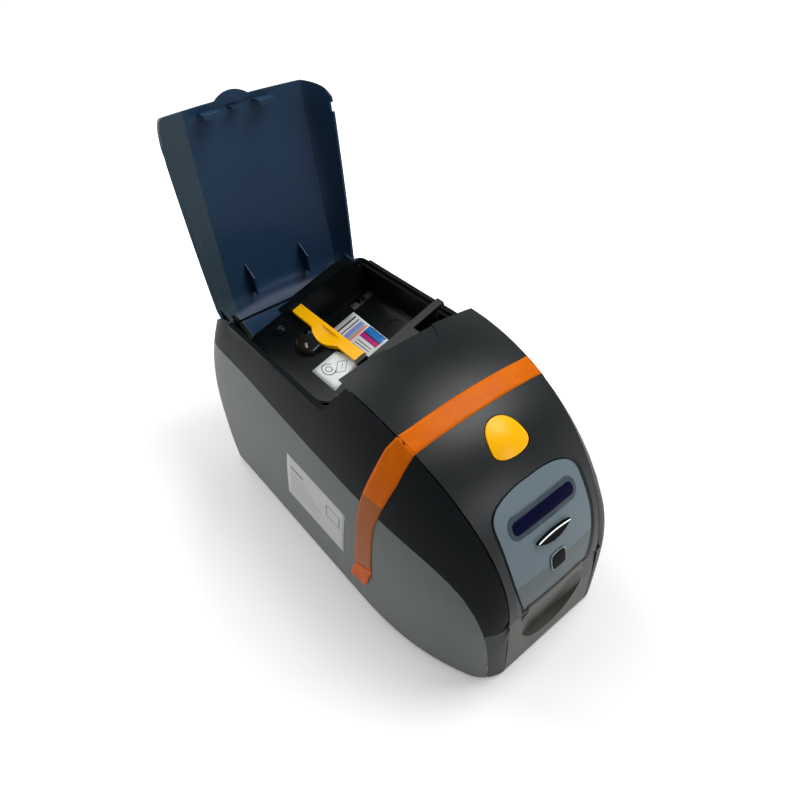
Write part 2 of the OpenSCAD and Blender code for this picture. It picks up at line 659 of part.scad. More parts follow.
// Half width of the display panel at a height
disp_mid = 150;
function disp_half(z) = z > disp_mid
  ? disp_half_w * pow(max(0.001, 1 - pow((z - disp_mid) / (disp_top + 0.2 - disp_mid), 4)), 0.45)
  : disp_half_w - 9 * pow(max(0, 138 - z) / 60, 2);
disp_zs = [for (k = [0:24]) disp_low + (disp_top - disp_low) * sin(90 * (24 - k) / 24)];
function disp_rows(grow, up) = [for (z = disp_zs) let(g = z + grow * (z - disp_mid) / 70)
  [for (j = [-6:6]) cover_point(g, (disp_half(z) + grow) * j / 6, up)]];
module disp_patch(grow, top, low) { skin(disp_rows(grow, top), disp_rows(grow, low)); }
// Places its children on the cover, with their Z axis pointing out of it
module on_cover(z, up) {
  d = prof_dir(z);
  p = cover_point(z, 0, up);
  translate(p) rotate([atan2(-d[0], d[1]), 0, 0]) children();
}
release_z = 189.4;
disp_bevel = 3.4;
tab_r = 24;
lug_gap = 0.4;
lug_x = ear_x + ear_t + lug_gap;
lug_t = 4;
lug_r = 5;
module top_cover() {
  color("#232527") difference() {
    union() {
      cover_shell();
      for (x = [-lug_x - lug_t, lug_x]) {
        xbar([x, x + lug_t], cover_pin_y, cover_pin_z, lug_r);
        block([x, x + lug_t], [cover_pin_y - 9, cover_pin_y + 2], [cover_pin_z, crease_h - 0.5]);
      }
    }
    xbar([-half_w, half_w], cover_pin_y, cover_pin_z, pin_r + run_gap);
    disp_patch(seam, 2, -cover_t + 1);
    // Sloping edge round the display panel
    skin(disp_rows(disp_bevel + 1, 1), disp_rows(seam, -cover_t + 1));
    // Round recess for the lid's tab
    translate([0, -cover_rear + 1, crease_h + crown - 2.6]) cylinder(h = 9, r = tab_r);
    on_cover(release_z, -9) linear_extrude(20) release_outline(seam + 0.5);
    on_cover(lcd_z, -9) linear_extrude(20) square([lcd_w, lcd_h], center = true);
    on_cover(key_z, -9) linear_extrude(20) circle(r = 4 + seam);
  }
  color("#232527") latch_ears();
}
module cover_pins() {
  color("silver") for (x = [-lug_x - lug_t, ear_x])
    xbar([x, x + ear_t + lug_gap + lug_t], cover_pin_y, cover_pin_z, pin_r);
}

lcd_z = 150.4;
key_z = 130;
module display_panel() {
  color("#5f6b73") difference() {
    disp_patch(0, -disp_sink, -cover_t + 1.05);
    on_cover(lcd_z, -9) linear_extrude(20) square([lcd_w, lcd_h], center = true);
    on_cover(key_z, -9) linear_extrude(20) circle(r = 4 + seam);
  }
}
lcd_sink = cover_t + 6.2;
module lcd_screen() {
  color("#05053a") on_cover(lcd_z, -lcd_sink) {
    block([-lcd_w / 2 + 0.3, lcd_w / 2 - 0.3], [-lcd_h / 2 + 0.3, lcd_h / 2 - 0.3], [3.9, 7.6]);
    block([-lcd_w / 2 - 3, lcd_w / 2 + 3], [-lcd_h / 2 - 5, lcd_h / 2 + 5], [0, 4]);
  }
}
module display_board() {
  color("#2f7d4a") on_cover(lcd_z, -lcd_sink - 4) {
    block([-36, 36], [-32, 11], [0, 1.6]);
    for (x = [-30, 30])
      translate([x, 0, 1.5]) cylinder(h = 2.5, r = 2);
    block([-14, 14], [-20, -8], [1.5, 3]);
  }
}

// Half width of the release button: a rounded triangle, widest towards the front
function release_half(s, r) = r * sqrt(max(0, 1 - pow(abs(s), 3.2))) * (0.96 - 0.24 * s);
module release_outline(grow) {
  r = release_r + grow;
  polygon(concat(
    [for (k = [0:24]) let(s = -cos(k * 7.5)) [release_half(s, r), s * r * 0.95]],
    [for (k = [23:-1:1]) let(s = -cos(k * 7.5)) [-release_half(s, r), s * r * 0.95]]));
}
release_in = 8;
module release_button() {
  color("#ffb400") on_cover(release_z, -release_in) {
    intersection() {
      linear_extrude(release_in + 4) release_outline(0);
      translate([0, 0, release_in + 2.6 - 50]) sphere(r = 50, $fn = 96);
    }
    translate([0, 0, -9]) cylinder(h = 10, r = 4);
  }
}
latch_y = -half_d + 52;
latch_z = crease_z(latch_y) - 18.95;
latch_ear_x = 20.4;
latch_ear_t = 3;
module release_latch() {
  color("#9a9c9e") {
    xbar([-latch_ear_x - latch_ear_t, latch_ear_x + latch_ear_t], latch_y, latch_z, pin_r);
    xbar([-8, 8], latch_y, latch_z, 4);
    xslab([-6, 6]) polygon([[latch_y - 2, latch_z], [latch_y - 2, latch_z - 31],
      [latch_y + 6, latch_z - 31], [latch_y + 6, latch_z - 28.4], [latch_y + 2, latch_z - 28],
      [latch_y + 3, latch_z - 2], [latch_y + 23, latch_z + 13], [latch_y + 21, latch_z + 16],
      [latch_y, latch_z + 4]]);
  }
}
// Ears under the cover that carry the latch
module latch_ears() {
  both_sides() difference() {
    xslab([-latch_ear_x - latch_ear_t, -latch_ear_x]) polygon([[latch_y - 5, latch_z - 5],
      [latch_y + 5, latch_z - 5], [latch_y + 8, latch_z + 26], [latch_y - 2, latch_z + 21]]);
    xbar([-half_w, half_w], latch_y, latch_z, pin_r + run_gap);
  }
}

// The crescent between two arcs through its tips
key_belly = 6.6;
key_rise = 2.2;
key_up = 4.8;
key_lift = 0.6;
key_tip = 0.5;
// Height of an arc through the tips, which sags by depth in the middle, or rises where it is negative
function arc_y(x, depth) = let(r = (pow(key_w / 2, 2) + depth * depth) / (2 * abs(depth)))
  key_up - sign(depth) * (sqrt(r * r - x * x) - r + abs(depth));
module key_outline(upper, belly, half) {
  xs = [for (k = [0:24]) -half * cos(k * 7.5)];
  polygon(concat(
    [for (x = xs) [x, arc_y(x, upper)]],
    [for (k = [24:-1:0]) [xs[k], arc_y(xs[k], belly) - key_tip]]));
}
module control_button() {
  color("#6f7b84") on_cover(key_z, -disp_sink) {
    translate([0, 0, key_lift]) linear_extrude(2)
      key_outline(-key_rise, key_belly - key_tip, key_w / 2);
    translate([0, 0, -4.6]) cylinder(h = 5.2, r = 4);
  }
}
// Bright band along the crescent's upper edge
module button_trim() {
  color("silver") on_cover(key_z, -disp_sink) translate([0, 0, key_lift + 2]) linear_extrude(0.6)
    key_outline(-key_rise + 0.5, -key_rise + 1.9 + key_tip, key_w / 2 - 1);
}

// ---- Output drawer

drawer_side = drawer_w / 2;
drawer_back = -half_d + drawer_len;
drawer_front_t = 13;
drawer_wall = 2;
// Finger recess: its floor leans in towards the lower edge, where the fingers hook in
recess_top = 1;
module finger_recess() {
  intersection() {
    translate([0, -half_d + drawer_front_t, 0]) rotate([90, 0, 0]) linear_extrude(2 * drawer_front_t) {
      translate([0, recess_low + recess_r]) circle(r = recess_r);
      translate([-recess_r, recess_low + recess_r]) square([2 * recess_r, 90]);
    }
    xslab([-half_w, half_w]) polygon([[-half_d - 6, 0], [-half_d + recess_in, 0],
      [-half_d + recess_in, recess_low], [-half_d + recess_top, disp_low], [-half_d - 6, disp_low]]);
    let(r = (pow(recess_r, 2) + pow(recess_in, 2)) / (2 * recess_in))
      translate([0, -half_d + recess_in - r, 0]) cylinder(h = half_d, r = r, $fn = 192);
  }
}
module output_drawer() {
  color("#56534f") {
    difference() {
      block([-drawer_side, drawer_side], [-half_d, -half_d + drawer_front_t],
        [floor_z + 0.6, drawer_top]);
      // The front leans back above the bulge, as the cheeks do
      translate([0, -half_d, belly_h]) rotate([-4, 0, 0]) block([-60, 60], [-9, 0], [0, 60]);
      finger_recess();
    }
    difference() {
      block([-drawer_side + 0.4, drawer_side - 0.4], [-half_d + drawer_front_t - 1, drawer_back],
        [floor_z + floor_t + 0.4, 58]);
      block([-drawer_side + 0.4 + drawer_wall, drawer_side - 0.4 - drawer_wall],
        [-half_d + drawer_front_t, drawer_back - drawer_wall],
        [floor_z + floor_t + 0.4 + drawer_wall, 99]);
    }
  }
}

// ---- Frames, rollers and drive

frame_in = frame_gap / 2;
frame_out = frame_in + frame_t;
function path_z(y) = path_h + y * tan(path_tilt);
// Centre of a roller of radius r that touches the card path from below or above
function under(y, r) = [y + r * sin(path_tilt), path_z(y) - r * cos(path_tilt)];
function above(y, r) = [y - r * sin(path_tilt), path_z(y) + r * cos(path_tilt)];
feed_y = 20;
clean_y = -15;
platen_y = -55;
eject_y = -half_d + 34;
feed_c = under(feed_y, roller_r);
clean_c = under(clean_y, roller_r);
platen_c = under(platen_y, roller_r);
eject_c = under(eject_y, roller_r);
pinch_r = 6;
card_t = 0.8;
feed_pinch_c = above(feed_y, pinch_r + card_t);
eject_pinch_c = above(eject_y, pinch_r + card_t);
supply_c = [-22, 160];
takeup_c = [eject_y + 38, 113];
motor_angle = -26;
motor_c = platen_c + gear_m * (pinion_teeth + gear_teeth) / 2 * [cos(motor_angle), sin(motor_angle)];
shaft_centres = [feed_c, clean_c, platen_c, eject_c, feed_pinch_c, eject_pinch_c, supply_c, takeup_c];
frame_low = cheek_top;
module frame_outline() {
  rear = feed_y + 16;
  front = eject_y - 10;
  spool_y = supply_c[0];
  polygon([[rear, frame_low], [rear, 150], [spool_y + 26, 150], [spool_y + 19, 174], [spool_y - 14, 176],
    [platen_y - 7, 140], [front + 60, 128], [front + 20, 128], [front, 104], [front, frame_low]]);
}
module frame(x) {
  difference() {
    union() {
      xslab(x) frame_outline();
      // Feet down to the casing floor behind the drawer bay
      for (y = [-30, 26])
        block(x, [y, y + 10], [plate_z + plate_t, frame_low + 1]);
    }
    for (c = shaft_centres)
      xbar([x[0] - 1, x[1] + 1], c[0], c[1], shaft_r + run_gap);
    xbar([x[0] - 1, x[1] + 1], motor_c[0], motor_c[1], 4);
  }
}
module frame_left() { color("#a9adb0") frame([-frame_out, -frame_in]); }
module frame_right() { color("#a9adb0") frame([frame_in, frame_out]); }
module frame_ties() {
  color("#8d9194") {
    for (c = [[feed_y + 10, 84], [eject_y + 60, 80], [eject_y + 11, 112]])
      xbar([-frame_in, frame_in], c[0], c[1], 3);
    // Catch for the release latch
    block([-frame_in, frame_in], [latch_y + 2.4, latch_y + 8], [latch_z - 35, latch_z - 32]);
  }
}
module card_guide() {
  color("#3c4043") difference() {
    translate([0, 0, path_h - 1]) rotate([path_tilt, 0, 0]) block([-33, 33], [-168, 38], [-1.2, 0]);
    for (c = [feed_c, clean_c, platen_c, eject_c])
      xbar([-roller_len / 2 - 0.6, roller_len / 2 + 0.6], c[0], c[1], roller_r + 0.6);
  }
  color("#3c4043") for (y = [0, -100]) both_sides()
    block([-frame_in, -31], [y - 4, y + 4], [path_z(y) - 4, path_z(y) - 2.2]);
}

module sleeve(c) {
  difference() {
    xbar([-roller_len / 2, roller_len / 2], c[0], c[1], roller_r - 0.1);
    xbar([-roller_len, roller_len], c[0], c[1], shaft_r);
  }
}
module shaft(c) {
  xbar([-frame_out - 9, frame_out + 0.8], c[0], c[1], shaft_r);
  xbar([-frame_out - 8.4, -frame_out - 1], c[0], c[1], pulley_r);
}
module feed_roller() { color("#2a2a2a") sleeve(feed_c); }
module feed_shaft() { color("silver") shaft(feed_c); }
module cleaning_roller() { color("#3a6ea5") sleeve(clean_c); }
module cleaning_shaft() { color("silver") shaft(clean_c); }
module platen_roller() { color("#2a2a2a") sleeve(platen_c); }
module platen_shaft() {
  color("silver") {
    shaft(platen_c);
    xbar([frame_out, gear_x + gear_w + 1], platen_c[0], platen_c[1], shaft_r);
  }
}
module eject_roller() { color("#2a2a2a") sleeve(eject_c); }
module eject_shaft() { color("silver") shaft(eject_c); }
module pinch(c) {
  xbar([-24, 24], c[0], c[1], pinch_r);
  xbar([-frame_out - 1, frame_out + 1], c[0], c[1], shaft_r);
}
module feed_pinch() { color("#b8bcc0") pinch(feed_pinch_c); }
module eject_pinch() { color("#b8bcc0") pinch(eject_pinch_c); }

// A gear outline with straight flanks and a little backlash
module gear_outline(teeth) {
  pitch = gear_m * teeth / 2;
  polygon([for (k = [0:teeth - 1]) each [for (p = [[-0.29, -1.2], [-0.1, 0.92], [0.1, 0.92], [0.29, -1.2]])
    let(r = pitch + p[1] * gear_m, a = (k + p[0]) * 360 / teeth) r * [cos(a), sin(a)]]]);
}
gear_x = frame_out + 1.6;
module platen_gear() {
  color("#e8e4da") difference() {
    translate([0, platen_c[0], platen_c[1]]) rotate([motor_angle, 0, 0]) xslab([gear_x, gear_x + gear_w])
      gear_outline(gear_teeth);
    xbar([0, half_w], platen_c[0], platen_c[1], shaft_r);
  }
}
module motor_pinion() {
  color("#c9a24a") {
    translate([0, motor_c[0], motor_c[1]]) rotate([motor_angle, 0, 0]) xslab([gear_x, gear_x + gear_w])
      rotate(180 / pinion_teeth + 180) gear_outline(pinion_teeth);
    xbar([frame_in - 2, gear_x + 1], motor_c[0], motor_c[1], 1.5);
  }
}
motor_r = 14;
module drive_motor() {
  color("#777b7e") difference() {
    xbar([frame_in - 19, frame_in], motor_c[0], motor_c[1], motor_r);
    xbar([frame_in - 2.2, frame_out], motor_c[0], motor_c[1], 1.5 + run_gap);
  }
}
belt_in = 0.3;
belt_t = 1.4;
belt_w = 5;
function arc_points(c, r, from) =
  [for (k = [0:24]) c + r * [cos(from + 7.5 * k), sin(from + 7.5 * k)]];
module belt_loop(r) {
  polygon(concat(arc_points(feed_c, r, path_tilt - 90), arc_points(eject_c, r, path_tilt + 90)));
}
module drive_belt() {
  color("#1a1a1a") xslab([-frame_out - 7.2, -frame_out - 7.2 + belt_w]) difference() {
    belt_loop(pulley_r + belt_in + belt_t);
    belt_loop(pulley_r + belt_in);
  }
}

spool_len = 64;
module spool(c, film) {
  xbar([-spool_len / 2, spool_len / 2], c[0], c[1], film);
  for (x = [-spool_len / 2 - 2, spool_len / 2])
    xbar([x, x + 2], c[0], c[1], film + 2);
  xbar([-frame_out - 1, frame_out + 1], c[0], c[1], shaft_r);
}
module ribbon_supply() { color("#7a2f6b") spool(supply_c, 14); }
module ribbon_takeup() { color("#3d3f8a") spool(takeup_c, 8); }

head_low = path_z(platen_y) + card_t + 0.4;
module print_head() {
  color("#c7cacc") {
    block([-31, 31], [platen_y - 4, platen_y + 5], [head_low, head_low + 5]);
    block([-31, 31], [platen_y - 6, platen_y + 6], [head_low + 5, head_low + 15]);
  }
}
bracket_top = 212;
module head_bracket() {
  color("#8d9194") {
    block([-28, 28], [platen_y - 8, platen_y - 6], [head_low + 6, bracket_top - 18]);
    for (x = [-28, 26])
      block([x, x + 2], [platen_y - 8, platen_y + 8], [head_low + 15, bracket_top]);
  }
}

// ---- Electrics on the floor

plate_z = floor_z + floor_t;
plate_t = 1.2;
module base_plate() {
  color("#9da1a4")
    block([-half_w + 15.5, half_w - 15.5], [-60, half_d - 10], [plate_z, plate_z + plate_t]);
}
board_z = plate_z + plate_t + 6;
module main_board() {
  color("#2f7d4a") {
    block([-4, 82], [half_d - 134, half_d - wall - 3], [board_z, board_z + 1.6]);
    for (x = [0, 78], y = [half_d - 130, half_d - 12])
      translate([x, y, plate_z + plate_t]) cylinder(h = 6.2, r = 2.5);
    for (k = [0:3])
      block([6 + k * 18, 18 + k * 18], [half_d - 104, half_d - 92], [board_z + 1.5, board_z + 3.5]);
    block([8, 70], [half_d - 72, half_d - 68], [board_z + 1.5, board_z + 10]);
  }
}
module power_supply() {
  color("#8f9396") difference() {
    block([-half_w + 17.5, -12], [half_d - 128, half_d - 34], [plate_z + plate_t, plate_z + 46]);
    for (k = [0:7])
      block([-74 + k * 8, -70 + k * 8], [half_d - 124, half_d - 38], [plate_z + 44, plate_z + 50]);
  }
}
module power_inlet() {
  color("#151515") {
    difference() {
      block([inlet_x - 13.6, inlet_x + 13.6], [half_d - 18, half_d + 0.5], [inlet_z - 11.6, inlet_z + 11.6]);
      block([inlet_x - 12, inlet_x + 12], [half_d - 14, half_d + 2], [inlet_z - 9, inlet_z + 8]);
    }
    for (x = [-6, 0, 6])
      block([inlet_x + x - 1, inlet_x + x + 1], [half_d - 15, half_d - 3], [inlet_z - 3, inlet_z + 2]);
    block([inlet_x - 13.6, inlet_x - 12], [half_d - 30, half_d - 17], [inlet_z - 8, inlet_z + 8]);
  }
}
module data_sockets() {
  color("#b9bcbe") {
    socket(usb_x, 6, port_z + 5.4, 1.6);
    socket(net_x, 8, port_z + 6.6, 2);
  }
}
// A metal socket on the board, with its mouth through the rear panel
module socket(x, half, top, edge) {
  low = 2 * port_z - top;
  difference() {
    union() {
      block([x - half, x + half], [half_d - 20, half_d + 0.3], [low, top]);
      block([x - half, x + half], [half_d - 20, half_d - wall - 0.2], [board_z + 1.6, top]);
    }
    block([x - half + edge, x + half - edge], [half_d - 13, half_d + 1], [low + edge, top - edge]);
  }
}
rocker_r = 9;
module switch_housing() {
  color("#151515") difference() {
    union() {
      block([switch_x - 9.6, switch_x + 9.6], [half_d - 17, half_d + 0.4], [inlet_z - 6.6, inlet_z + 6.6]);
      block([switch_x - 11.6, switch_x + 11.6], [half_d, half_d + 1.6], [inlet_z - 8.6, inlet_z + 8.6]);
    }
    block([switch_x - 8, switch_x + 8], [half_d - 12, half_d + 9], [inlet_z - 5, inlet_z + 5]);
  }
}
module switch_rocker() {
  color("#2c2c2c") translate([switch_x, half_d + 3 - rocker_r, inlet_z]) intersection() {
    translate([0, 0, -4.6]) cylinder(h = 9.2, r = rocker_r);
    rotate([0, 0, 8]) block([-7, 7], [-2, 9], [-4.6, 4.6]);
  }
}
pick_r = 7;
pick_shaft_r = 2.5;
pick_x = 36;
pick_len = 26;
pick_z = -well_deep - 6.6;
pick_end = pick_x - 6;
pick_motor_len = 22;
module pick_roller() {
  color("#3a3a3a") tilted() translate([0, pick_slot_y, pick_z]) rotate([0, 90, 0]) {
    translate([0, 0, pick_end + 1]) cylinder(h = pick_len + 8, r = pick_shaft_r);
    for (x = [pick_x, pick_x + pick_len - 8])
      translate([0, 0, x]) cylinder(h = 8, r = pick_r);
    translate([0, 0, pick_end - 8]) cylinder(h = 10, r = 1.5);
  }
}
module pick_motor() {
  color("#777b7e") tilted() difference() {
    union() {
      translate([pick_end - pick_motor_len, pick_slot_y, pick_z - 6]) rotate([0, 90, 0])
        cylinder(h = pick_motor_len, r = 10);
      block([pick_end - 2, pick_end], [pick_slot_y - 9, pick_slot_y + 7.9],
        [pick_z - 10, -well_deep - tray_t]);
    }
    translate([pick_end - 9, pick_slot_y, pick_z]) rotate([0, 90, 0])
      cylinder(h = 12, r = 1.5 + run_gap);
  }
}
module casing_screws() {
  color("#8b8f92") {
    tilted() translate([boss_x, boss_y, 0.2]) {
      translate([0, 0, -6]) cylinder(h = 7, r = screw_r);
      cylinder(h = 1.8, r = 3);
    }
    for (x = [-80, 80], z = [20, 128])
      translate([x, half_d, z]) rotate([-90, 0, 0]) cylinder(h = 1.5, r = 3);
  }
}

lower_casing();
front_cheeks();
side_panel_left();
side_panel_right();
upper_casing();
rear_panel();
feeder_tray();
feet();
lid();
lid_pins();
top_cover();
cover_pins();
display_panel();
lcd_screen();
display_board();
release_button();
release_latch();
control_button();
button_trim();
output_drawer();
guide_bar();
bar_brackets();
bar_pin();
frame_left();
frame_right();
frame_ties();
card_guide();
feed_roller();
feed_shaft();
cleaning_roller();
cleaning_shaft();
platen_roller();
platen_shaft();
eject_roller();
eject_shaft();
platen_gear();
feed_pinch();
eject_pinch();
drive_motor();
motor_pinion();
drive_belt();
ribbon_supply();
ribbon_takeup();
print_head();
head_bracket();
base_plate();
main_board();
power_supply();
power_inlet();
data_sockets();
switch_housing();
switch_rocker();
pick_roller();
pick_motor();
casing_screws();
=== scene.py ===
# %% [markdown]
# # An id card printer with its feeder lid open
# The plastic shells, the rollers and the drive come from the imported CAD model.
# This script dresses them: it gives each piece its finish, adds the thin things that have no
# solid of their own, such as stickers and packing tape, and sets up light, floor and camera.

# %% Load the frame
import math

import bmesh
import bpy
from mathutils import Matrix, Vector
from mathutils.bvhtree import BVHTree


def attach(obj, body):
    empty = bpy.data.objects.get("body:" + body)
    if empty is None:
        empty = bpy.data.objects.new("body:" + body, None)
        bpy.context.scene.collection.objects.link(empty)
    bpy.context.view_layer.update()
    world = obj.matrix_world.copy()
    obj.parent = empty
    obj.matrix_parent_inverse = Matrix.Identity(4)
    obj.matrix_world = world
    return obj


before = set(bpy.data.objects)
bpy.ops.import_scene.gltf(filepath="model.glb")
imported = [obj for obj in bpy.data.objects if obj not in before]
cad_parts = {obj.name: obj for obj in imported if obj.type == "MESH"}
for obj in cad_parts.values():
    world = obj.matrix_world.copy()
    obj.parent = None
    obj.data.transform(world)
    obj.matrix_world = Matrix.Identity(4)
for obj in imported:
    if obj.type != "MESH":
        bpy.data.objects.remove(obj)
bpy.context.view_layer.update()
scene = bpy.context.scene
scene.view_settings.view_transform = "Standard"
MM = 0.001
print("CAD nodes:", len(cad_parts))

# %% [markdown]
# ## The camera
# A short lens close above the printer's left front corner gives strong perspective, and a small
# roll tips the horizon. A look-at constraint would give the same aim, but not the roll, so the
# camera's three axes are worked out and put in its matrix.

# %% Camera
CAM_AZ, CAM_EL, CAM_DIST, CAM_ROLL = -36.64, 42.54, 605.46, -3.76
CAM_TARGET = Vector((22.73, 32.73, 110.0)) * MM
SENSOR_WIDTH, PICTURE_PIXELS, FOCAL_PIXELS = 36, 800, 633.67
az, el, roll = (math.radians(a) for a in (CAM_AZ, CAM_EL, CAM_ROLL))
back = Vector((math.sin(az) * math.cos(el), -math.cos(az) * math.cos(el), math.sin(el)))
level = Vector((math.cos(az), math.sin(az), 0))
upward = back.cross(level)
right = level * math.cos(roll) + upward * math.sin(roll)
up = upward * math.cos(roll) - level * math.sin(roll)
camera_data = bpy.data.cameras.new("camera")
camera_data.sensor_width = SENSOR_WIDTH
camera_data.lens = SENSOR_WIDTH * FOCAL_PIXELS / PICTURE_PIXELS
camera_data.clip_start = 0.01
camera = bpy.data.objects.new("camera", camera_data)
scene.collection.objects.link(camera)
turn = Matrix((right, up, back)).transposed().to_4x4()
camera.matrix_world = Matrix.Translation(CAM_TARGET + back * CAM_DIST * MM) @ turn
scene.camera = camera
print("camera at", [round(c, 3) for c in camera.location], "lens", round(camera_data.lens, 2))

# %% [markdown]
# ## Light
# Soft studio light: a dim even world fills the shadows, and four large lamps do the shaping, from
# behind, from above, from the left and from the front. Small bright lamps would print hard spots
# on the etched plastic. All stay weak, so that each colour renders about as it is written.

# %% World and lamps
WORLD_LIGHT = 0.24
WORLD_TINT = (0.97, 0.98, 1, 1)
# Each lamp's place, the point it faces, its two sides in metres and its power in watts.
LAMPS = {"lamp_behind": ((-0.15, 1.0, 1.25), (0, 0, 0.15), (1.0, 0.7), 11),
         "lamp_overhead": ((0.55, -0.25, 1.25), (0, -0.05, 0.15), (0.6, 0.6), 11),
         "lamp_left": ((-1.3, 0.75, 0.75), (0, 0.05, 0.1), (0.6, 0.6), 4),
         "lamp_front": ((0.35, -1.2, 0.8), (0, -0.1, 0.15), (0.5, 0.4), 3)}

world = bpy.data.worlds.new("studio")
scene.world = world
world.use_nodes = True
world_shade = world.node_tree.nodes["Background"]
world_shade.inputs["Color"].default_value = WORLD_TINT
world_shade.inputs["Strength"].default_value = WORLD_LIGHT
for name, (place, target, size, watts) in LAMPS.items():
    data = bpy.data.lights.new(name, "AREA")
    data.shape = "RECTANGLE"
    data.size, data.size_y = size
    data.energy = watts
    lamp = bpy.data.objects.new(name, data)
    scene.collection.objects.link(lamp)
    lamp.location = place
    lamp.rotation_euler = (Vector(target) - Vector(place)).to_track_quat("-Z", "Y").to_euler()

# %% [markdown]
# ## A small workshop for shader maths
# A finish is easier to read as an expression than as a list of links. `Wire` wraps a socket
# and adds a Math node for each operator; `Finish` makes a material and any node in it.


# %% Wire
class Wire:
    def __init__(self, finish, socket):
        self.finish, self.socket = finish, socket

    def _math(self, operation, a, b=None):
        return self.finish.node("ShaderNodeMath", {"operation": operation}, {0: a, 1: b})

    def __add__(self, other): return self._math("ADD", self, other)
    def __radd__(self, other): return self._math("ADD", other, self)
    def __sub__(self, other): return self._math("SUBTRACT", self, other)
    def __rsub__(self, other): return self._math("SUBTRACT", other, self)
    def __mul__(self, other): return self._math("MULTIPLY", self, other)
    def __rmul__(self, other): return self._math("MULTIPLY", other, self)
    def __gt__(self, other): return self._math("GREATER_THAN", self, other)
    def __lt__(self, other): return self._math("LESS_THAN", self, other)
    def most(self, other): return self._math("MAXIMUM", self, other)
    def size(self): return self._math("ABSOLUTE", self)


print("a wire can be added to, taken from, multiplied, compared and measured")

# %% [markdown]
# A noise texture rarely strays outside 0.3 to 0.7, so `vary` stretches that span over the two
# values that it is given. Colours are written as on a screen, and `rgb` makes them linear.


# %% Finish
class Finish:
    def __init__(self, name):
        self.material = bpy.data.materials.new(name)
        self.material.use_nodes = True
        self.tree = self.material.node_tree
        self.tree.nodes.clear()
        self.out = self.tree.nodes.new("ShaderNodeOutputMaterial")

    def node(self, kind, settings=None, inputs=None, output=0):
        made = self.tree.nodes.new(kind)
        for key, value in (settings or {}).items():
            setattr(made, key, value)
        for key, value in (inputs or {}).items():
            if isinstance(value, Wire):
                self.tree.links.new(value.socket, made.inputs[key])
            elif value is not None:
                made.inputs[key].default_value = value
        return Wire(self, made.outputs[output])

    def place(self, scale=(1, 1, 1)):
        where = self.node("ShaderNodeTexCoord", output="Object")
        return self.node("ShaderNodeMapping", {}, {"Vector": where, "Scale": scale})

    def axes(self, where=None):
        where = where or self.place()
        split = self.tree.nodes.new("ShaderNodeSeparateXYZ")
        self.tree.links.new(where.socket, split.inputs[0])
        return [Wire(self, o) for o in split.outputs]

    def noise(self, scale, detail=3, rough=0.5, where=None):
        return self.node("ShaderNodeTexNoise", {}, {"Vector": where or self.place(), "Scale": scale,
                                                    "Detail": detail, "Roughness": rough})

    def remap(self, value, low, high, to_low, to_high):
        return self.node("ShaderNodeMapRange", {}, {"Value": value, "From Min": low, "From Max": high,
                                                    "To Min": to_low, "To Max": to_high})

    def vary(self, noise, to_low, to_high):
        return self.remap(noise, 0.3, 0.7, to_low, to_high)

    def mix(self, share, a, b):
        return self.node("ShaderNodeMix", {"data_type": "RGBA"}, {0: share, 6: a, 7: b}, output=2)

    def bump(self, height, strength, distance):
        return self.node("ShaderNodeBump", {}, {"Height": height, "Strength": strength,
                                                "Distance": distance})

    def shader(self, **inputs):
        named = {key.replace("_", " "): value for key, value in inputs.items()}
        return self.node("ShaderNodeBsdfPrincipled", {}, named)

    def done(self, surface):
        self.tree.links.new(surface.socket, self.out.inputs["Surface"])
        return self.material


def rgb(code):
    """A screen colour such as 1e2022 as the linear colour a shader wants."""
    parts = [int(code[i:i + 2], 16) / 255 for i in (0, 2, 4)]
    return tuple(c / 12.92 if c <= 0.04045 else ((c + 0.055) / 1.055) ** 2.4 for c in parts) + (1,)


def scaled(colour, factor):
    """A linear colour made lighter or darker."""
    return tuple(min(1, c * factor) for c in colour[:3]) + (1,)


print("helpers ready; mid grey is", [round(c, 3) for c in rgb("808080")[:3]])

# %% [markdown]
# ## Floor and backdrop
# The floor is a white sheet with a round white wall far behind it. Both take the lamps' light, so
# the floor keeps the soft shadow round the base. What the camera, a mirror or a clear lid sees of
# them has a glow added, so that the floor runs into a white background with no edge. Brighter
# lamps would whiten it as well, but they would wash out the printer. The floor's glow is weak
# under the printer and grows with distance, so that the shadow isn't drowned.

# %% Glowing paper
GLOW_FROM, GLOW_TO = 0.2, 0.75
GLOW, PAPER_TONE = 0.9, 0.85


def glowing_paper(name, share_nearby):
    f = Finish(name)
    seen = f.node("ShaderNodeLightPath", output="Is Camera Ray")
    for ray in ("Is Glossy Ray", "Is Transmission Ray"):
        seen = seen.most(f.node("ShaderNodeLightPath", output=ray))
    where = f.node("ShaderNodeTexCoord", output="Object")
    reach = f.node("ShaderNodeVectorMath", {"operation": "LENGTH"}, {0: where}, output="Value")
    fade = f.remap(reach, GLOW_FROM, GLOW_TO, share_nearby, 1.0)
    glow = f.node("ShaderNodeEmission", {}, {"Color": fade, "Strength": seen * GLOW})
    plain = f.node("ShaderNodeBsdfDiffuse", {}, {"Color": (PAPER_TONE, PAPER_TONE, PAPER_TONE, 1)})
    return f.done(f.node("ShaderNodeAddShader", {}, {0: plain, 1: glow}))


papers = {"floor": glowing_paper("floor_paper", 0.2), "backdrop": glowing_paper("backdrop_paper", 1.0)}
print("papers:", list(papers))

# %% [markdown]
# The floor is a filled circle. The backdrop starts as the same circle, left empty, and its rim is
# extruded and lifted, which makes a wall with no lid, so that the world's light comes in above it.

# %% Floor and backdrop
FLOOR_RADIUS, WALL_HEIGHT, RIM_POINTS = 5.0, 2.2, 96


def stage_piece(name, bm):
    mesh = bpy.data.meshes.new(name)
    bm.to_mesh(mesh)
    bm.free()
    mesh.materials.append(papers[name])
    piece = bpy.data.objects.new(name, mesh)
    scene.collection.objects.link(piece)


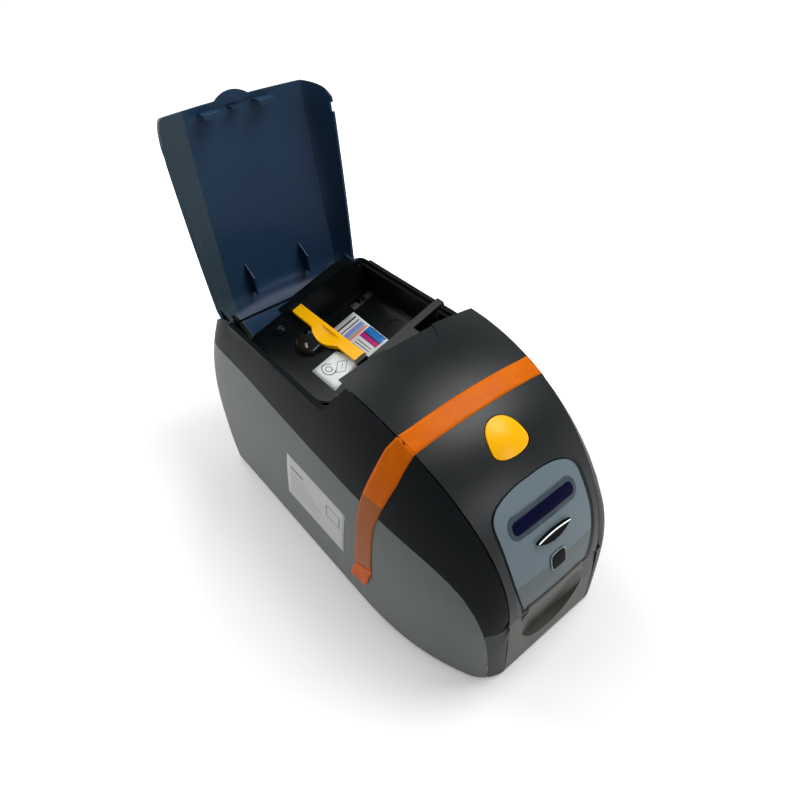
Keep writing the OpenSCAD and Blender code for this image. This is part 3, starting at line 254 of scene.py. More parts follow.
bm = bmesh.new()
bmesh.ops.create_circle(bm, cap_ends=True, segments=RIM_POINTS, radius=FLOOR_RADIUS)
stage_piece("floor", bm)
bm = bmesh.new()
bmesh.ops.create_circle(bm, segments=RIM_POINTS, radius=FLOOR_RADIUS)
grown = bmesh.ops.extrude_edge_only(bm, edges=list(bm.edges))["geom"]
upper_rim = [g for g in grown if isinstance(g, bmesh.types.BMVert)]
bmesh.ops.translate(bm, vec=(0, 0, WALL_HEIGHT), verts=upper_rim)
stage_piece("backdrop", bm)
print("floor radius", FLOOR_RADIUS, "m, wall", WALL_HEIGHT, "m high")

# %% [markdown]
# ## Moulded plastic
# The casing's plastic is moulded in steel tools with an etched surface, which leaves a fine
# grain that scatters the highlights. Two sizes of noise make the grain, and a slow third one
# varies the colour and the gloss a little, as handling does. A flat colour would look like paint.


# %% Moulded plastic
GRAIN_DEPTH = 0.00012


def moulded(name, colour, rough=0.5, grain=0.25, pitch=1400, worn=0.04, sheen=0.5):
    f = Finish(name)
    slow = f.noise(14, 2)
    fine = f.noise(pitch, 2, 0.6)
    coarse = f.noise(pitch * 0.4, 1)
    light, dark = scaled(rgb(colour), 1 + worn * 4), scaled(rgb(colour), 1 - worn * 2)
    tint = f.mix(f.vary(slow + (fine - 0.5) * 0.3, 0, 1), dark, light)
    normal = f.bump(fine * 0.7 + coarse * 0.3, grain, GRAIN_DEPTH)
    return f.done(f.shader(Base_Color=tint, Roughness=f.vary(slow, rough - 0.03, rough + 0.04),
                           Normal=normal, Specular_IOR_Level=sheen))


print("the etched grain is", GRAIN_DEPTH / MM, "mm deep")

# %% [markdown]
# The cover is the glossiest of the black shells. The flanks below it use a copy of its plastic with
# the reflection turned down and the colour a touch darker, as painted shade. The side panels and
# the base are two greys, and the front cheeks are the base's grey darkened as painted shade.

# %% The shells' colours
casing_black = moulded("etched_black_plastic", "0e1315", 0.36, 0.45, 1300, sheen=0.26)
# Painted shade: the flanks' plastic is the cover's, with its reflection turned down and its colour darker.
flank_black_painted_shade = moulded("flank_plastic_painted_shade", "0d1113", 0.4, 0.45, 1300, sheen=0.06)
tray_black = moulded("feeder_black_plastic", "0c0f10", 0.3, 0.2, 1100, sheen=0.16)
bowl_black = moulded("polished_bowl_plastic", "0c0e0f", 0.12, 0.03, 900, sheen=0.6)
panel_grey = moulded("grey_side_plastic", "5b615d", 0.4, 0.3, 1700, sheen=0.2)
base_grey = moulded("warm_grey_base_plastic", "4d4d49", 0.42, 0.35, 1500, sheen=0.25)
# Painted shade: the cheeks are the base's grey darkened, for the little light on their front corner.
cheek_grey_painted_shade = moulded("cheek_plastic_painted_shade", "2c302d", 0.42, 0.35, 1500, sheen=0.15)
key_yellow = moulded("yellow_touch_plastic", "ffb800", 0.3, 0.06, 700, worn=0.01, sheen=0.15)
part_black = moulded("plain_black_plastic", "131416", 0.4, 0.2, 900, sheen=0.25)
gear_white = moulded("white_gear_plastic", "d9d6cb", 0.4, 0.15, 900)
key_black = moulded("gloss_black_key", "030405", 0.12, 0.02, 600, worn=0.02, sheen=0.03)
print("moulded plastics made")

# %% [markdown]
# ## The two-tone display panel
# The panel is one blue-grey moulding. Its lowest part is a shade darker, with a crisp line
# between, so the height above the table picks the colour.

# %% Display panel
LINE_LOW, LINE_HIGH = 0.1086, 0.1092
f = Finish("blue_grey_panel_plastic")
height = f.axes()[2]
slow, fine = f.noise(16, 2), f.noise(1500, 2)
tone = f.mix(f.remap(height, LINE_LOW, LINE_HIGH, 0, 1), rgb("586264"), rgb("67777f"))
tone = f.mix(f.remap(slow, 0.35, 0.65, 0, 0.2), tone, rgb("616e74"))
panel_blue = f.done(f.shader(Base_Color=tone, Roughness=f.vary(slow, 0.34, 0.42),
                             Normal=f.bump(fine, 0.2, 0.0001), Specular_IOR_Level=0.2))
print("panel changes tone between", LINE_LOW, "and", LINE_HIGH, "m")

# %% [markdown]
# The window is dark blue and smooth, with so little reflection that it keeps its colour under the
# lamps. Its surround is the panel's plastic, a few shades darker.

# %% Display window and its surround
f = Finish("display_window")
slow = f.noise(60, 2)
window = f.done(f.shader(Base_Color=f.mix(slow, rgb("01021c"), rgb("020334")),
                         Roughness=f.vary(slow, 0.08, 0.16), Specular_IOR_Level=0.04))
f = Finish("dark_blue_grey_surround")
slow = f.noise(80, 2)
surround = f.done(f.shader(Base_Color=f.mix(slow, rgb("37434b"), rgb("3f4c55")),
                           Roughness=f.vary(slow, 0.24, 0.32), Specular_IOR_Level=0.15))
print("display finishes made")

# %% [markdown]
# ## The smoked lid
# The lid is translucent dark blue plastic. Light passes it a little, so it is a mix of a glossy
# body colour and a clear shader; grazing views look denser, as tinted plastic does. A glass
# shader would bend what lies behind, which a thin sheet does not do.
# A painted reflection makes the left edge of the lid a shade lighter. The edge of that band leans
# a little, from its foot at the hinge to the lid's top.

# %% Lid
# Where the painted reflection's band ends, how soft its edge is, how it leans, and the height it leans from.
REFLECTION_EDGE, REFLECTION_SOFT, REFLECTION_LEAN, REFLECTION_HEIGHT = -0.0473, 0.0005, 0.04, 0.35
f = Finish("smoked_blue_lid")
slow = f.noise(9, 2)
across, _, height = f.axes()
# Painted reflection: left of this leaning edge the lid's colour turns a lighter blue-grey.
painted_reflection_band = f.remap(across + (REFLECTION_HEIGHT - height) * REFLECTION_LEAN, REFLECTION_EDGE, REFLECTION_EDGE + REFLECTION_SOFT, 1, 0)
tint = f.mix(f.remap(slow, 0.35, 0.65, 0, 1), rgb("20364e"), rgb("263d56"))
tint = f.mix(painted_reflection_band, tint, rgb("384852"))
body = f.shader(Base_Color=tint, Roughness=f.vary(slow, 0.2, 0.28), Specular_IOR_Level=0.09)
clear = f.node("ShaderNodeBsdfTransparent", {}, {"Color": rgb("3f5f8c")})
facing = f.node("ShaderNodeLayerWeight", {}, {"Blend": 0.35}, output="Facing")
density = f.remap(facing, 0, 1, 0.94, 0.985)
lid_smoke = f.done(f.node("ShaderNodeMixShader", {}, {0: density, 1: clear, 2: body}))
lid_smoke.blend_method = "BLEND"
print("lid finish made, lighter left of x", REFLECTION_EDGE)

# %% [markdown]
# ## The crescent key's trim
# The key is glossy black, with a thin bright line along its upper edge only. The line follows an
# arc, so the trim's height above that arc picks between metal and black. That keeps the trim one
# piece, as it is on the printer.

# %% Key trim
TRIM_TOP, TRIM_SLOPE, TRIM_BEND, TRIM_LINE = 0.13815, 0.911, 96.0, 0.0009
f = Finish("bright_edge_black_body")
across, _, height = f.axes()
arc = TRIM_TOP - across * across * (TRIM_SLOPE / 2 / TRIM_BEND / MM)
shine = height > arc - TRIM_LINE
slow = f.noise(80, 2)
edge_bright = f.done(f.shader(Base_Color=f.mix(shine, rgb("040506"), rgb("e6e9ec")), Metallic=shine,
                              Roughness=f.vary(slow, 0.1, 0.18), Specular_IOR_Level=0.1))
print("key trim made")

# %% [markdown]
# ## Metals, rubber and boards
# Shafts are ground bright, and brackets are zinc plated with a faint mottle. One function makes
# both: a shaft's noise is drawn out along it into streaks, and a bracket's is the same each way.


# %% Metals
def plated(name, colour, rough, stretch=(1, 1, 1), scale=300):
    f = Finish(name)
    grain = f.noise(scale, 3, where=f.place(scale=stretch))
    tint = f.mix(f.noise(25, 2), rgb(colour), scaled(rgb(colour), 0.8))
    return f.done(f.shader(Base_Color=tint, Metallic=1.0, Roughness=f.vary(grain, rough - 0.06, rough + 0.08),
                           Normal=f.bump(grain, 0.12, 0.0001)))


steel = plated("zinc_plated_steel", "a9acad", 0.38)
bright = plated("ground_steel", "c4c7c9", 0.22, (1, 30, 30), 120)
socket_steel = plated("tinned_socket_steel", "b4b7b9", 0.3)
alloy = plated("head_alloy", "b9bbbd", 0.42, (1, 12, 1), 200)
can_grey = plated("folded_can_steel", "8e9193", 0.42, (1, 20, 1), 150)
print("metals made")

# %% [markdown]
# Rubber is matt, with a fine tooth that breaks up the highlight. Its colour drifts a little, as
# dust and wear make it do. The ribbon's dyed film on its two spools is a smoother case of it.


# %% Rubber and ribbons
def rubbery(name, colour, rough=0.75):
    f = Finish(name)
    fine, slow = f.noise(900, 3), f.noise(30, 2)
    tint = f.mix(slow, rgb(colour), scaled(rgb(colour), 1.5))
    return f.done(f.shader(Base_Color=tint, Roughness=f.vary(slow, rough - 0.06, rough + 0.08),
                           Normal=f.bump(fine, 0.4, 0.0002)))


foot_rubber = rubbery("foot_rubber", "141414")
roller_rubber = rubbery("roller_rubber", "2a2b2d", 0.6)
cleaner_blue = rubbery("tacky_cleaner", "6f9fb5", 0.4)
ribbon_purple = rubbery("ribbon_purple", "5a1d4c", 0.35)
ribbon_blue = rubbery("ribbon_blue", "23255a", 0.35)
print("rubber made")

# %% [markdown]
# A board is green lacquer over copper tracks. Small bricks with thin joints read as tracks from
# any distance, and they cost nothing, while drawn tracks would never be seen inside the casing.

# %% Circuit board
TRACKS_PER_METRE = 420
f = Finish("green_board")
where = f.place(scale=(TRACKS_PER_METRE, TRACKS_PER_METRE, TRACKS_PER_METRE))
slow = f.noise(40, 2)
tracks = f.node("ShaderNodeTexBrick", {"offset": 0.35},
                {"Vector": where, "Scale": 1.0, "Mortar Size": 0.04}, output=1)
tint = f.mix(tracks, rgb("14502c"), rgb("2a7a45"))
board = f.done(f.shader(Base_Color=f.mix(slow * 0.4, tint, rgb("0d3a20")),
                        Roughness=f.vary(slow, 0.3, 0.42)))
print("board made")

# %% [markdown]
# ## Dressing the CAD nodes
# Each node keeps its own mesh. Weld joins its loose triangles, Edge Split keeps the real
# corners crisp while the curves shade smoothly, and the material goes in its slot. A Bevel
# modifier would soften the corners, but it spoils on the long thin triangles of a CAD mesh.


# %% Dress the nodes
JOIN_WITHIN = 0.00001
CURVED, PLAIN = 35, 30


def dress(names, finish, crisp=PLAIN):
    for name in names.split():
        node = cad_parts[name]
        mesh = node.data
        if "custom_normal" in mesh.attributes:
            mesh.attributes.remove(mesh.attributes["custom_normal"])
        mesh.polygons.foreach_set("use_smooth", [True] * len(mesh.polygons))
        mesh.materials.clear()
        mesh.materials.append(finish)
        weld = node.modifiers.new("weld", "WELD")
        weld.merge_threshold = JOIN_WITHIN
        split = node.modifiers.new("crisp", "EDGE_SPLIT")
        split.split_angle = math.radians(crisp)


dress("top_cover rear_panel", casing_black, CURVED)
dress("upper_casing", flank_black_painted_shade, CURVED)
dress("side_panel_left side_panel_right", panel_grey, CURVED)
dress("output_drawer lower_casing", base_grey, CURVED)
dress("front_cheeks", cheek_grey_painted_shade, CURVED)
dress("feeder_tray card_guide", tray_black)
dress("display_panel", panel_blue)
dress("lcd_screen", window)
dress("display_board main_board", board)
dress("guide_bar release_button", key_yellow)
dress("lid", lid_smoke)
dress("bar_brackets switch_housing switch_rocker power_inlet", part_black)
dress("control_button", key_black)
dress("button_trim", edge_bright)
dress("bar_pin lid_pins cover_pins casing_screws", bright)
dress("feed_shaft cleaning_shaft platen_shaft eject_shaft", bright)
dress("frame_left frame_right frame_ties head_bracket base_plate release_latch", steel)
dress("platen_gear motor_pinion", gear_white)
dress("drive_motor pick_motor power_supply", can_grey)
dress("feed_roller platen_roller eject_roller feed_pinch eject_pinch pick_roller", roller_rubber)
dress("cleaning_roller", cleaner_blue)
dress("drive_belt feet", foot_rubber)
dress("ribbon_supply", ribbon_purple)
dress("ribbon_takeup", ribbon_blue)
dress("print_head", alloy)
dress("data_sockets", socket_steel)
print("nodes left undressed:", [n for n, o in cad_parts.items() if not o.modifiers])

# %% [markdown]
# ## Finding the surface
# Stickers and tape lie on curved walls. A ray that is shot at the real solids finds the wall,
# so each thin piece can be laid on it with a hair's gap. A Shrinkwrap modifier would pull the
# pieces to the nearest wall instead, which folds them at an edge.


# %% Rays onto the solids
FROM_LEFT, FROM_FRONT = -160, -240


def shell_of(*names):
    points, faces = [], []
    for name in names:
        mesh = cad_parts[name].data
        start = len(points)
        points += [v.co.copy() for v in mesh.vertices]
        faces += [[start + i for i in p.vertices] for p in mesh.polygons]
    return BVHTree.FromPolygons(points, faces)


def lay(tree, origin, direction, lift=0.2):
    """The first point of the shell along a ray, lifted back towards the ray's start; millimetres."""
    d = Vector(direction).normalized()
    hit = tree.ray_cast(Vector(origin) * MM, d)[0]
    return None if hit is None else hit - d * lift * MM


def from_left(y, height, lift):
    return lay(outside, (FROM_LEFT, y, height), (1, 0, 0), lift)


def from_front(tree, x, height, lift=0.0):
    return lay(tree, (x, FROM_FRONT, height), (0, 1, 0), lift)


outside = shell_of("top_cover", "upper_casing", "side_panel_left", "side_panel_right", "display_panel")
cover_shell = shell_of("top_cover")
print("left wall at y 0, height 80:", [round(c, 4) for c in from_left(0, 80, 0)])

# %% [markdown]
# A thin piece starts as a flat grid. Each vertex is then sent to its place by a function of u and
# v, which run from 0 to 1 over the grid, and a Solidify modifier gives the sheet its thickness.


# %% Thin sheets
PAPER = 0.1


def finished(bm, name, material, body):
    """Turns a bmesh into a piece that rides on a body."""
    mesh = bpy.data.meshes.new(name)
    bm.to_mesh(mesh)
    bm.free()
    mesh.polygons.foreach_set("use_smooth", [True] * len(mesh.polygons))
    mesh.materials.append(material)
    piece = bpy.data.objects.new(name, mesh)
    scene.collection.objects.link(piece)
    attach(piece, body)
    return piece


def sheet_grid(columns, rows, point):
    """A grid whose vertices are sent to point(u, v), with its own UV map."""
    bm = bmesh.new()
    bmesh.ops.create_grid(bm, x_segments=columns, y_segments=rows, size=0.5, calc_uvs=True)
    layer = bm.loops.layers.uv.verify()
    for face in bm.faces:
        for loop in face.loops:
            loop[layer].uv = (loop.vert.co.x + 0.5, loop.vert.co.y + 0.5)
    for v in bm.verts:
        v.co = point(v.co.x + 0.5, v.co.y + 0.5)
    bmesh.ops.recalc_face_normals(bm, faces=bm.faces)
    return bm


def sheet(name, columns, rows, point, material, body, thickness=PAPER):
    piece = finished(sheet_grid(columns, rows, point), name, material, body)
    solid = piece.modifiers.new("thickness", "SOLIDIFY")
    solid.thickness, solid.offset = thickness * MM, -1.0
    print(name, "rides on", body, "and is", thickness, "mm thick")


# %% [markdown]
# ## The packing tape
# One strip of orange tape holds the cover shut for shipping. It crosses the cover and runs down
# both sides. The strip is parted where the cover meets the casing, so that each stretch can ride
# on the part it sticks to. The tape lets some of the wall's colour through: over the black flank
# it is a clean orange, and over the grey side panel it looks browner.

# %% Tape finish
PANEL_EDGE, PANEL_EDGE_SOFT = 0.1545, 0.0004


def tape_finish(name, over_black, over_grey, cover_share):
    f = Finish(name)
    height = f.axes()[2]
    ripple = f.noise(45, 2, where=f.place(scale=(1, 3, 1)))
    low = f.remap(height, PANEL_EDGE - PANEL_EDGE_SOFT, PANEL_EDGE + PANEL_EDGE_SOFT, 1, 0)
    tint = f.mix(low, rgb(over_black), rgb(over_grey))
    tint = f.mix(f.remap(ripple, 0.4, 0.7, 0, 0.3), tint, f.mix(low, rgb("ea7c06"), rgb("a05c33")))
    body = f.shader(Base_Color=tint, Roughness=f.vary(ripple, 0.3, 0.4),
                    Specular_IOR_Level=0.06, Normal=f.bump(ripple, 0.12, 0.0008))
    clear = f.node("ShaderNodeBsdfTransparent", {}, {"Color": rgb("ff9a3a")})
    return f.done(f.node("ShaderNodeMixShader", {}, {0: cover_share, 1: clear, 2: body}))


tape_orange = tape_finish("orange_packing_tape", "cf6202", "a35c30", 0.97)
tail_orange = tape_finish("folded_orange_tape", "dc6c02", "d65a02", 0.98)
print("tape finishes made")

# %% [markdown]
# The tape runs down the side a little askew, so its two edges are given by height. Round the
# body, a place on the tape is an angle from upright, seen from an axis in the casing's middle.

# %% Where the tape lies
# Height above the table, rear edge y, front edge y.
TAPE_EDGES = [(212, -81, -98), (206, -80, -96.5), (195, -75.2, -95), (178, -72, -93.2),
              (147, -64.9, -85.8), (132, -62.7, -82.3), (110, -60.5, -80.2), (80, -56, -77.8),
              (56, -52.5, -75.6)]
AXIS_HEIGHT, RAY_LENGTH, TAPE_Y, SHORTEST = 110, 240, -88, 0.05
NEARBY = [math.radians(offset) for offset in (0, 0.3, -0.3, 0.8, -0.8)]


def tape_edges(height):
    rows = TAPE_EDGES
    if height >= rows[0][0]:
        return rows[0][1], rows[0][2]
    for (h0, r0, f0), (h1, r1, f1) in zip(rows, rows[1:]):
        if height >= h1:
            s = (h0 - height) / (h0 - h1)
            return r0 + (r1 - r0) * s, f0 + (f1 - f0) * s
    return rows[-1][1], rows[-1][2]


def inward(tree, y, angle, lift):
    """Where a ray aimed at the casing's axis, at an angle from upright, meets a shell."""
    d = Vector((math.sin(angle), 0, math.cos(angle)))
    return lay(tree, Vector((0, y, AXIS_HEIGHT)) + d * RAY_LENGTH, -d, lift)


def outer_hit(y, angle, lift):
    """The farthest out of three hits close together, so that a parting line is bridged."""
    hits = [inward(outside, y, angle + offset, lift) for offset in NEARBY]
    hits = [h if h and h.length > SHORTEST else None for h in hits]
    axis = Vector((0, y, AXIS_HEIGHT)) * MM
    return max((h for h in hits[:3] if h), default=hits[3] or hits[4], key=lambda h: (h - axis).length)


print("tape's top at", [round(c, 4) for c in outer_hit(TAPE_Y, 0, 0)])

# %% [markdown]
# The crease is where the cover ends and the casing's flank begins. It is looked for in tenths of
# a degree, at each whole millimetre of depth, and read off between them.

# %% The crease
CREASE_FROM, CREASE_TO, CREASE_ELSE, SAME = 300, 460, 35.0, 0.2


def crease_angle(y):
    for tenth in range(CREASE_FROM, CREASE_TO):
        angle = math.radians(tenth / 10)
        on_cover, any_hit = (inward(tree, y, angle, 0) for tree in (cover_shell, outside))
        if on_cover is None or (on_cover - any_hit).length > SAME * MM:
            return tenth / 10 - 0.1
    return CREASE_ELSE


crease = {y: crease_angle(y) for y in range(-104, -70)}


def edge(y):
    low_y = math.floor(y)
    return crease[low_y] + (crease[low_y + 1] - crease[low_y]) * (y - low_y)


print("crease at", crease[TAPE_Y], "degrees from upright")

# %% [markdown]
# Each stretch is one grid, wrapped round the body row by row. The middle stretch rides on the
# cover and the two others on the casing, so the tape parts at the crease when the cover opens.

# %% Tape strips
# Degrees: the gap at the crease, and where the strip ends on the left and on the right.
PART, LEFT_END, RIGHT_END = 0.08, -116.5, 96
TAPE_FRONT, TAPE_WIDTH, TAPE_LIFT, TAPE_ROWS = -97, 17, 0.3, 8


def wrap_strip(name, low, high, body, steps):
    """A stretch of tape between two angles from upright, each a function of y; minus is left."""
    def point(u, v):
        y_top = TAPE_FRONT + TAPE_WIDTH * v
        angle = math.radians(low(y_top) + (high(y_top) - low(y_top)) * u)
        rear, front = tape_edges(outer_hit(TAPE_Y, angle, TAPE_LIFT).z / MM)
        return outer_hit(front + (rear - front) * v, angle, TAPE_LIFT)
    sheet(name, steps, TAPE_ROWS, point, tape_orange, body)


wrap_strip("tape_over_cover", lambda y: -edge(y), edge, "cover", 72)
wrap_strip("tape_down_left_side", lambda y: -edge(y) - PART, lambda y: LEFT_END, "casing", 96)
wrap_strip("tape_down_right_side", lambda y: edge(y) + PART, lambda y: RIGHT_END, "casing", 60)

# %% [markdown]
# The tape's end is folded under itself, so that it can be pulled off. Two layers look brighter,
# and the folded corner stands a little off the wall.

# %% Tape tail
# Corners of the folded end as depth y and height: two at the strip's end, two at the free edge.
TAIL_TOP, TAIL_FREE = [(-78, 73), (-54, 60)], [(-68, 41), (-44.5, 34)]
TAIL_LIFT, TAIL_CURL = 0.5, 1.6


def tail_point(u, v):
    top, free = (Vector(a).lerp(Vector(b), v) for a, b in (TAIL_TOP, TAIL_FREE))
    y, height = top.lerp(free, u)
    curl = TAIL_CURL * u * u * (1 - 0.4 * v)
    return from_left(y, height, TAIL_LIFT) - Vector((curl * MM, 0, 0))


sheet("tape_folded_end", 14, 14, tail_point, tail_orange, "casing", 2 * PAPER)

# %% [markdown]
# ## The shipping sticker on the side
# A plain white paper label. Its print is left generic: a few grey rules stand where words
# would be, and an empty box stands beside them. The print is worked out from the label's own UV
# map, so it needs no picture file.


# %% Print on paper
def paper_finish(name):
    f = Finish(name)
    f.u, f.v = f.axes(f.node("ShaderNodeTexCoord", output="UV"))[:2]
    f.fibre = f.noise(900, 3)
    return f


def bar(f, u0, u1, v0, v1):
    """1 inside a rectangle of the label's own surface, 0 outside."""
    return (f.u > u0) * (f.u < u1) * (f.v > v0) * (f.v < v1)


RULE_LEFT, RULE_TOP, RULE_STEP, RULE_THICK = 0.07, 0.6, 0.1, 0.015
f = paper_finish("white_paper_sticker")
rules = bar(f, RULE_LEFT, 0.3, 0.74, 0.8)
for row, rule_right in enumerate((0.42, 0.5, 0.62, 0.55, 0.6)):
    low = RULE_TOP - RULE_STEP * row
    rules = rules.most(bar(f, RULE_LEFT, rule_right, low, low + RULE_THICK))
rules = rules.most(bar(f, 0.7, 0.93, 0.52, 0.8) - bar(f, 0.72, 0.91, 0.545, 0.775))
tint = f.mix(rules * 0.75, f.mix(f.fibre, rgb("b9bbb8"), rgb("c3c5c2")), rgb("5a5f63"))
sticker_paper = f.done(f.shader(Base_Color=tint, Roughness=f.vary(f.fibre, 0.5, 0.6),
                                Normal=f.bump(f.fibre, 0.1, 0.0001)))
print("sticker's print made")

# %% [markdown]
# The sticker is stuck on a little out of square, so it is a four-cornered grid between its four
# measured corners, and each of its vertices is laid on the curved wall.

# %% Side sticker
# The sticker's corners as depth y and height: the rear and the front one above, then below.
STICKER_TOP, STICKER_LOW = [(40.5, 117), (-46.3, 113.3)], [(53.4, 54), (-35.5, 52.8)]
STICKER_LIFT = 0.15


def sticker_point(u, v):
    top, low = (Vector(a).lerp(Vector(b), u) for a, b in (STICKER_TOP, STICKER_LOW))
    y, height = low.lerp(top, v)
    return from_left(y, height, STICKER_LIFT)


sheet("side_sticker", 16, 12, sticker_point, sticker_paper, "casing")

# %% [markdown]
# ## Two labels in the feeder
# One lies on the shelf and shows how to load a card, as a drawing without words. The other is
# on the floor of the card well, with blocks of colour. Both lie on the tilted tray, so they are
# laid out in the tray's own tilted axes, where each is a plain four-cornered sheet.

# %% Tray axes
TRAY_TILT, TRAY_HEIGHT = math.radians(17), 180
WELL_FLOOR, LABEL_LIFT = -38.2, 0.18


def on_tray(x, y, above=0.0):
    """A point of the tilted tray in the printer's frame, from its own x, y and height above it."""
    c, s = math.cos(TRAY_TILT), math.sin(TRAY_TILT)
    return Vector((x * c - above * s, y, TRAY_HEIGHT + above * c + x * s)) * MM


def tray_label(name, corners, above, material):
    a, b, c, d = (Vector(p) for p in corners)

    def point(u, v):
        x, y = d.lerp(c, u).lerp(a.lerp(b, u), v)
        return on_tray(x, y, above)
    sheet(name, 6, 6, point, material, "casing")


print("tray's zero at", [round(c, 3) for c in on_tray(0, 0)])

# %% [markdown]
# The loading drawing is a round outline with a hole in it and a tilted card beside it. Each line
# is the band between two sizes of the same shape.

# %% Shelf label
f = paper_finish("loading_label")
du, dv = f.u - 0.36, f.v - 0.66
round_size = du * du * 1.6 + dv * dv * 0.85
marks = (round_size > 0.040) * (round_size < 0.052) * (f.u < 0.45).most(f.v > 0.74)
marks = marks.most((round_size > 0.008) * (round_size < 0.013))
cu, cv = f.u - 0.62, f.v - 0.42
along, across = cu * 0.78 + cv * 0.62, cv * 0.78 - cu * 0.62
card_outer = (along.size() < 0.2) * (across.size() < 0.135)
card_inner = (along.size() < 0.183) * (across.size() < 0.118)
marks = marks.most(card_outer - card_inner)
marks = marks.most((along.size() < 0.1) * ((across + 0.02).size() < 0.007))
tint = f.mix(marks, f.mix(f.fibre, rgb("dfe5e4"), rgb("e8eeec")), rgb("16181a"))
loading_paper = f.done(f.shader(Base_Color=tint, Roughness=f.vary(f.fibre, 0.35, 0.45)))
SHELF_CORNERS = [(-49.4, 65.1), (-21.4, 64.6), (-12.5, 35.8), (-49.5, 29.5)]
tray_label("loading_label", SHELF_CORNERS, LABEL_LIFT, loading_paper)

# %% [markdown]
# The well's label has lines where words would be, and three blocks of colour. A table holds each
# mark's lower and upper bound and its ink, and a loop mixes them in, one over the other.

# %% Well label
INK, SKY, LEAF, SALMON = rgb("101214"), rgb("8a9be0"), rgb("5fae8c"), rgb("ef8a72")
ROWS = [(0.86, 0.9, INK), (0.765, 0.79, INK), (0.62, 0.72, SKY), (0.59, 0.612, LEAF), (0.53, 0.58, SALMON)]
COLUMNS = [(0.75, 0.985, INK), (0.77, 0.965, rgb("1878c8")), (0.585, 0.75, INK), (0.6, 0.735, rgb("c8147e"))]
f = paper_finish("well_label")
tint = f.mix(f.fibre, rgb("e4e6e6"), rgb("eef0ef"))
for low, high, ink in ROWS:
    tint = f.mix(bar(f, 0.06, 0.94, low, high), tint, ink)
for low, high, ink in COLUMNS:
    tint = f.mix(bar(f, low, high, 0.05, 0.5), tint, ink)
for column in range(5):
    tint = f.mix(bar(f, 0.1 + 0.09 * column, 0.125 + 0.09 * column, 0.08, 0.46), tint, INK)
well_paper = f.done(f.shader(Base_Color=tint, Roughness=f.vary(f.fibre, 0.35, 0.45)))
WELL_CORNERS = [(-4.5, 128.8), (33.2, 128.8), (30.7, 68.7), (-4.5, 68.7)]
tray_label("well_label", WELL_CORNERS, WELL_FLOOR + LABEL_LIFT, well_paper)

# %% [markdown]
# ## The display window
# The screen sits behind a long window with round ends, in a shallow surround of the same shape.
# Both follow the curve of the panel. The panel has a slot behind the window, so the curve is
# read beside the slot and above it, where the panel is whole, and the two are put together.

# %% The panel's curve
panel_shell = shell_of("display_panel")
BESIDE_SLOT, ABOVE_SLOT = 38.5, 163.0


def panel_y(x, z):
    side = from_front(panel_shell, BESIDE_SLOT, z).y
    bow = from_front(panel_shell, x, ABOVE_SLOT).y
    bow_at_side = from_front(panel_shell, BESIDE_SLOT, ABOVE_SLOT).y
    return (side + bow - bow_at_side) / MM


print("panel's front at the window:", round(panel_y(0, 151), 2), "mm")

# %% [markdown]
# A square grid becomes a pill when each column's height follows the round end. A sine spaces the
# columns, so that they crowd where the outline turns.

# %% Window and surround
WINDOW_Z, WINDOW_BEND = 151.2, 1.5


def pill_point(half_long, half_high, lift):
    def point(u, v):
        a, b = 2 * u - 1, 2 * v - 1
        x = math.sin(a * math.pi / 2) * half_long
        over = max(0.0, abs(x) - (half_long - half_high)) / half_high
        half = half_high * math.sqrt(max(0.0, 1 - over * over))
        z = WINDOW_Z + b * half + WINDOW_BEND * (1 - (x / half_long) ** 2)
        return Vector((x, panel_y(x, z) - lift, z)) * MM
    return point


sheet("window_rim", 72, 10, pill_point(35, 7.9, 0.15), surround, "cover")
sheet("display_window", 72, 10, pill_point(31.4, 4.5, 0.4), window, "cover")

# %% [markdown]
# ## A bare badge
# A small rounded black plate with a bright edge stands on the two-tone line. It is left plain.
# The edge is a slightly larger plate below it. Both are square grids whose corners are drawn in.

# %% Badge
badge_chrome = plated("badge_edge", "8d9498", 0.3)
BADGE_X, BADGE_Z, BADGE_HALF_W, BADGE_HALF_H = 1.0, 109.5, 8.4, 8.2
BADGE_EDGE, CORNER_PULL = 0.8, 0.16


def plate_point(inset, lift):
    def point(u, v):
        a, b = 2 * u - 1, 2 * v - 1
        pull = 1 - CORNER_PULL * (a * b) ** 2
        x = BADGE_X + a * (BADGE_HALF_W - inset) * pull
        z = BADGE_Z + b * (BADGE_HALF_H - inset) * pull
        return Vector((x, panel_y(x, z) - lift, z)) * MM
    return point


sheet("badge_edge", 12, 12, plate_point(0, 0.12), badge_chrome, "cover")
sheet("badge_plate", 12, 12, plate_point(BADGE_EDGE, 0.3), key_black, "cover")

# %% [markdown]
# ## The raised lip of the drawer
# The middle of the drawer's front runs on upwards, over the cover's lower edge, as far as the
# display panel. It leaves the floor of the finger recess and swings out over the cover. Its foot
# is read off the drawer and its upper part off the cover, and a smooth step blends the two.

# %% Drawer lip
LIP_LOW, LIP_HIGH, LIP_HALF, LIP_FLARE = 60.0, 78.9, 31.0, 4.0
FLARE_TO, FLARE_LENGTH, BLEND_LENGTH, COVER_READ_AT = 68.0, 6.0, 13.0, 75.5
LIP_THICK = 1.2
drawer_shell = shell_of("output_drawer")


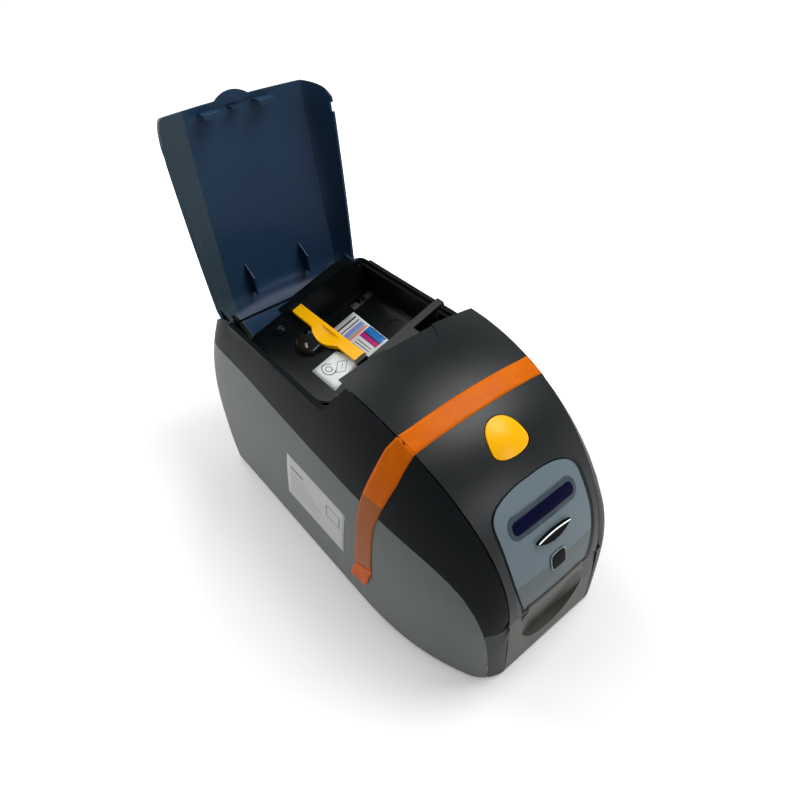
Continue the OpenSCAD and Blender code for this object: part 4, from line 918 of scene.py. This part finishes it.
def lip_point(u, v):
    z = LIP_LOW + (LIP_HIGH - LIP_LOW) * v
    spread = max(0.0, 1 - max(0.0, z - FLARE_TO) / FLARE_LENGTH)
    x = (2 * u - 1) * (LIP_HALF + LIP_FLARE * spread * spread)
    cover_y = from_front(cover_shell, x, COVER_READ_AT, 0.35).y
    drawer_y = from_front(drawer_shell, x, LIP_LOW, 0.05).y
    share = min(1.0, (z - LIP_LOW) / BLEND_LENGTH)
    share = share * share * (3 - 2 * share)
    return Vector((x * MM, drawer_y + (cover_y - drawer_y) * share, z * MM))


sheet("drawer_lip", 40, 16, lip_point, base_grey, "drawer", LIP_THICK)

# %% [markdown]
# ## Strips behind the joints of the base
# A hair-wide slit runs up between each side panel and the front cheek. A dark strip stands close
# behind it, so that no light shows through, and its dark grey is painted shade inside the joint.

# %% Joint strips
JOINT_FROM, JOINT_TO, JOINT_LOW, JOINT_HIGH = (-64.6, -178.3), (-58.0, -177.1), 1.5, 40.0
for side, side_name in ((1, "left"), (-1, "right")):
    def joint_point(u, v):
        x, y = (a + (b - a) * u for a, b in zip(JOINT_FROM, JOINT_TO))
        return Vector((side * x, y, JOINT_LOW + (JOINT_HIGH - JOINT_LOW) * v)) * MM
    # A dark sheet behind the slit, as painted shade inside the joint.
    strip = finished(sheet_grid(4, 4, joint_point), "painted_shade_strip_" + side_name, cheek_grey_painted_shade, "casing")
    print(strip.name, "from height", JOINT_LOW, "to", JOINT_HIGH)

# %% [markdown]
# ## The polished finger bowl
# The hollow beside the guide bar is polished, so it shows a bright spot in the matt tray. The
# lining is a square grid that is rounded to a disc and then sunk along a sphere.

# %% Finger bowl
BOWL = Vector((-28.0, 93.0, 8.0))
BOWL_R, BOWL_RIM = 19.9, 18.2


def bowl_point(u, v):
    a, b = 2 * u - 1, 2 * v - 1
    x, y = (a * math.sqrt(1 - b * b / 2) * BOWL_RIM, b * math.sqrt(1 - a * a / 2) * BOWL_RIM)
    return on_tray(BOWL.x + x, BOWL.y + y, BOWL.z - math.sqrt(BOWL_R ** 2 - x * x - y * y))


bowl = finished(sheet_grid(32, 32, bowl_point), "polished_bowl", bowl_black, "casing")
print("bowl lining has", len(bowl.data.vertices), "points")
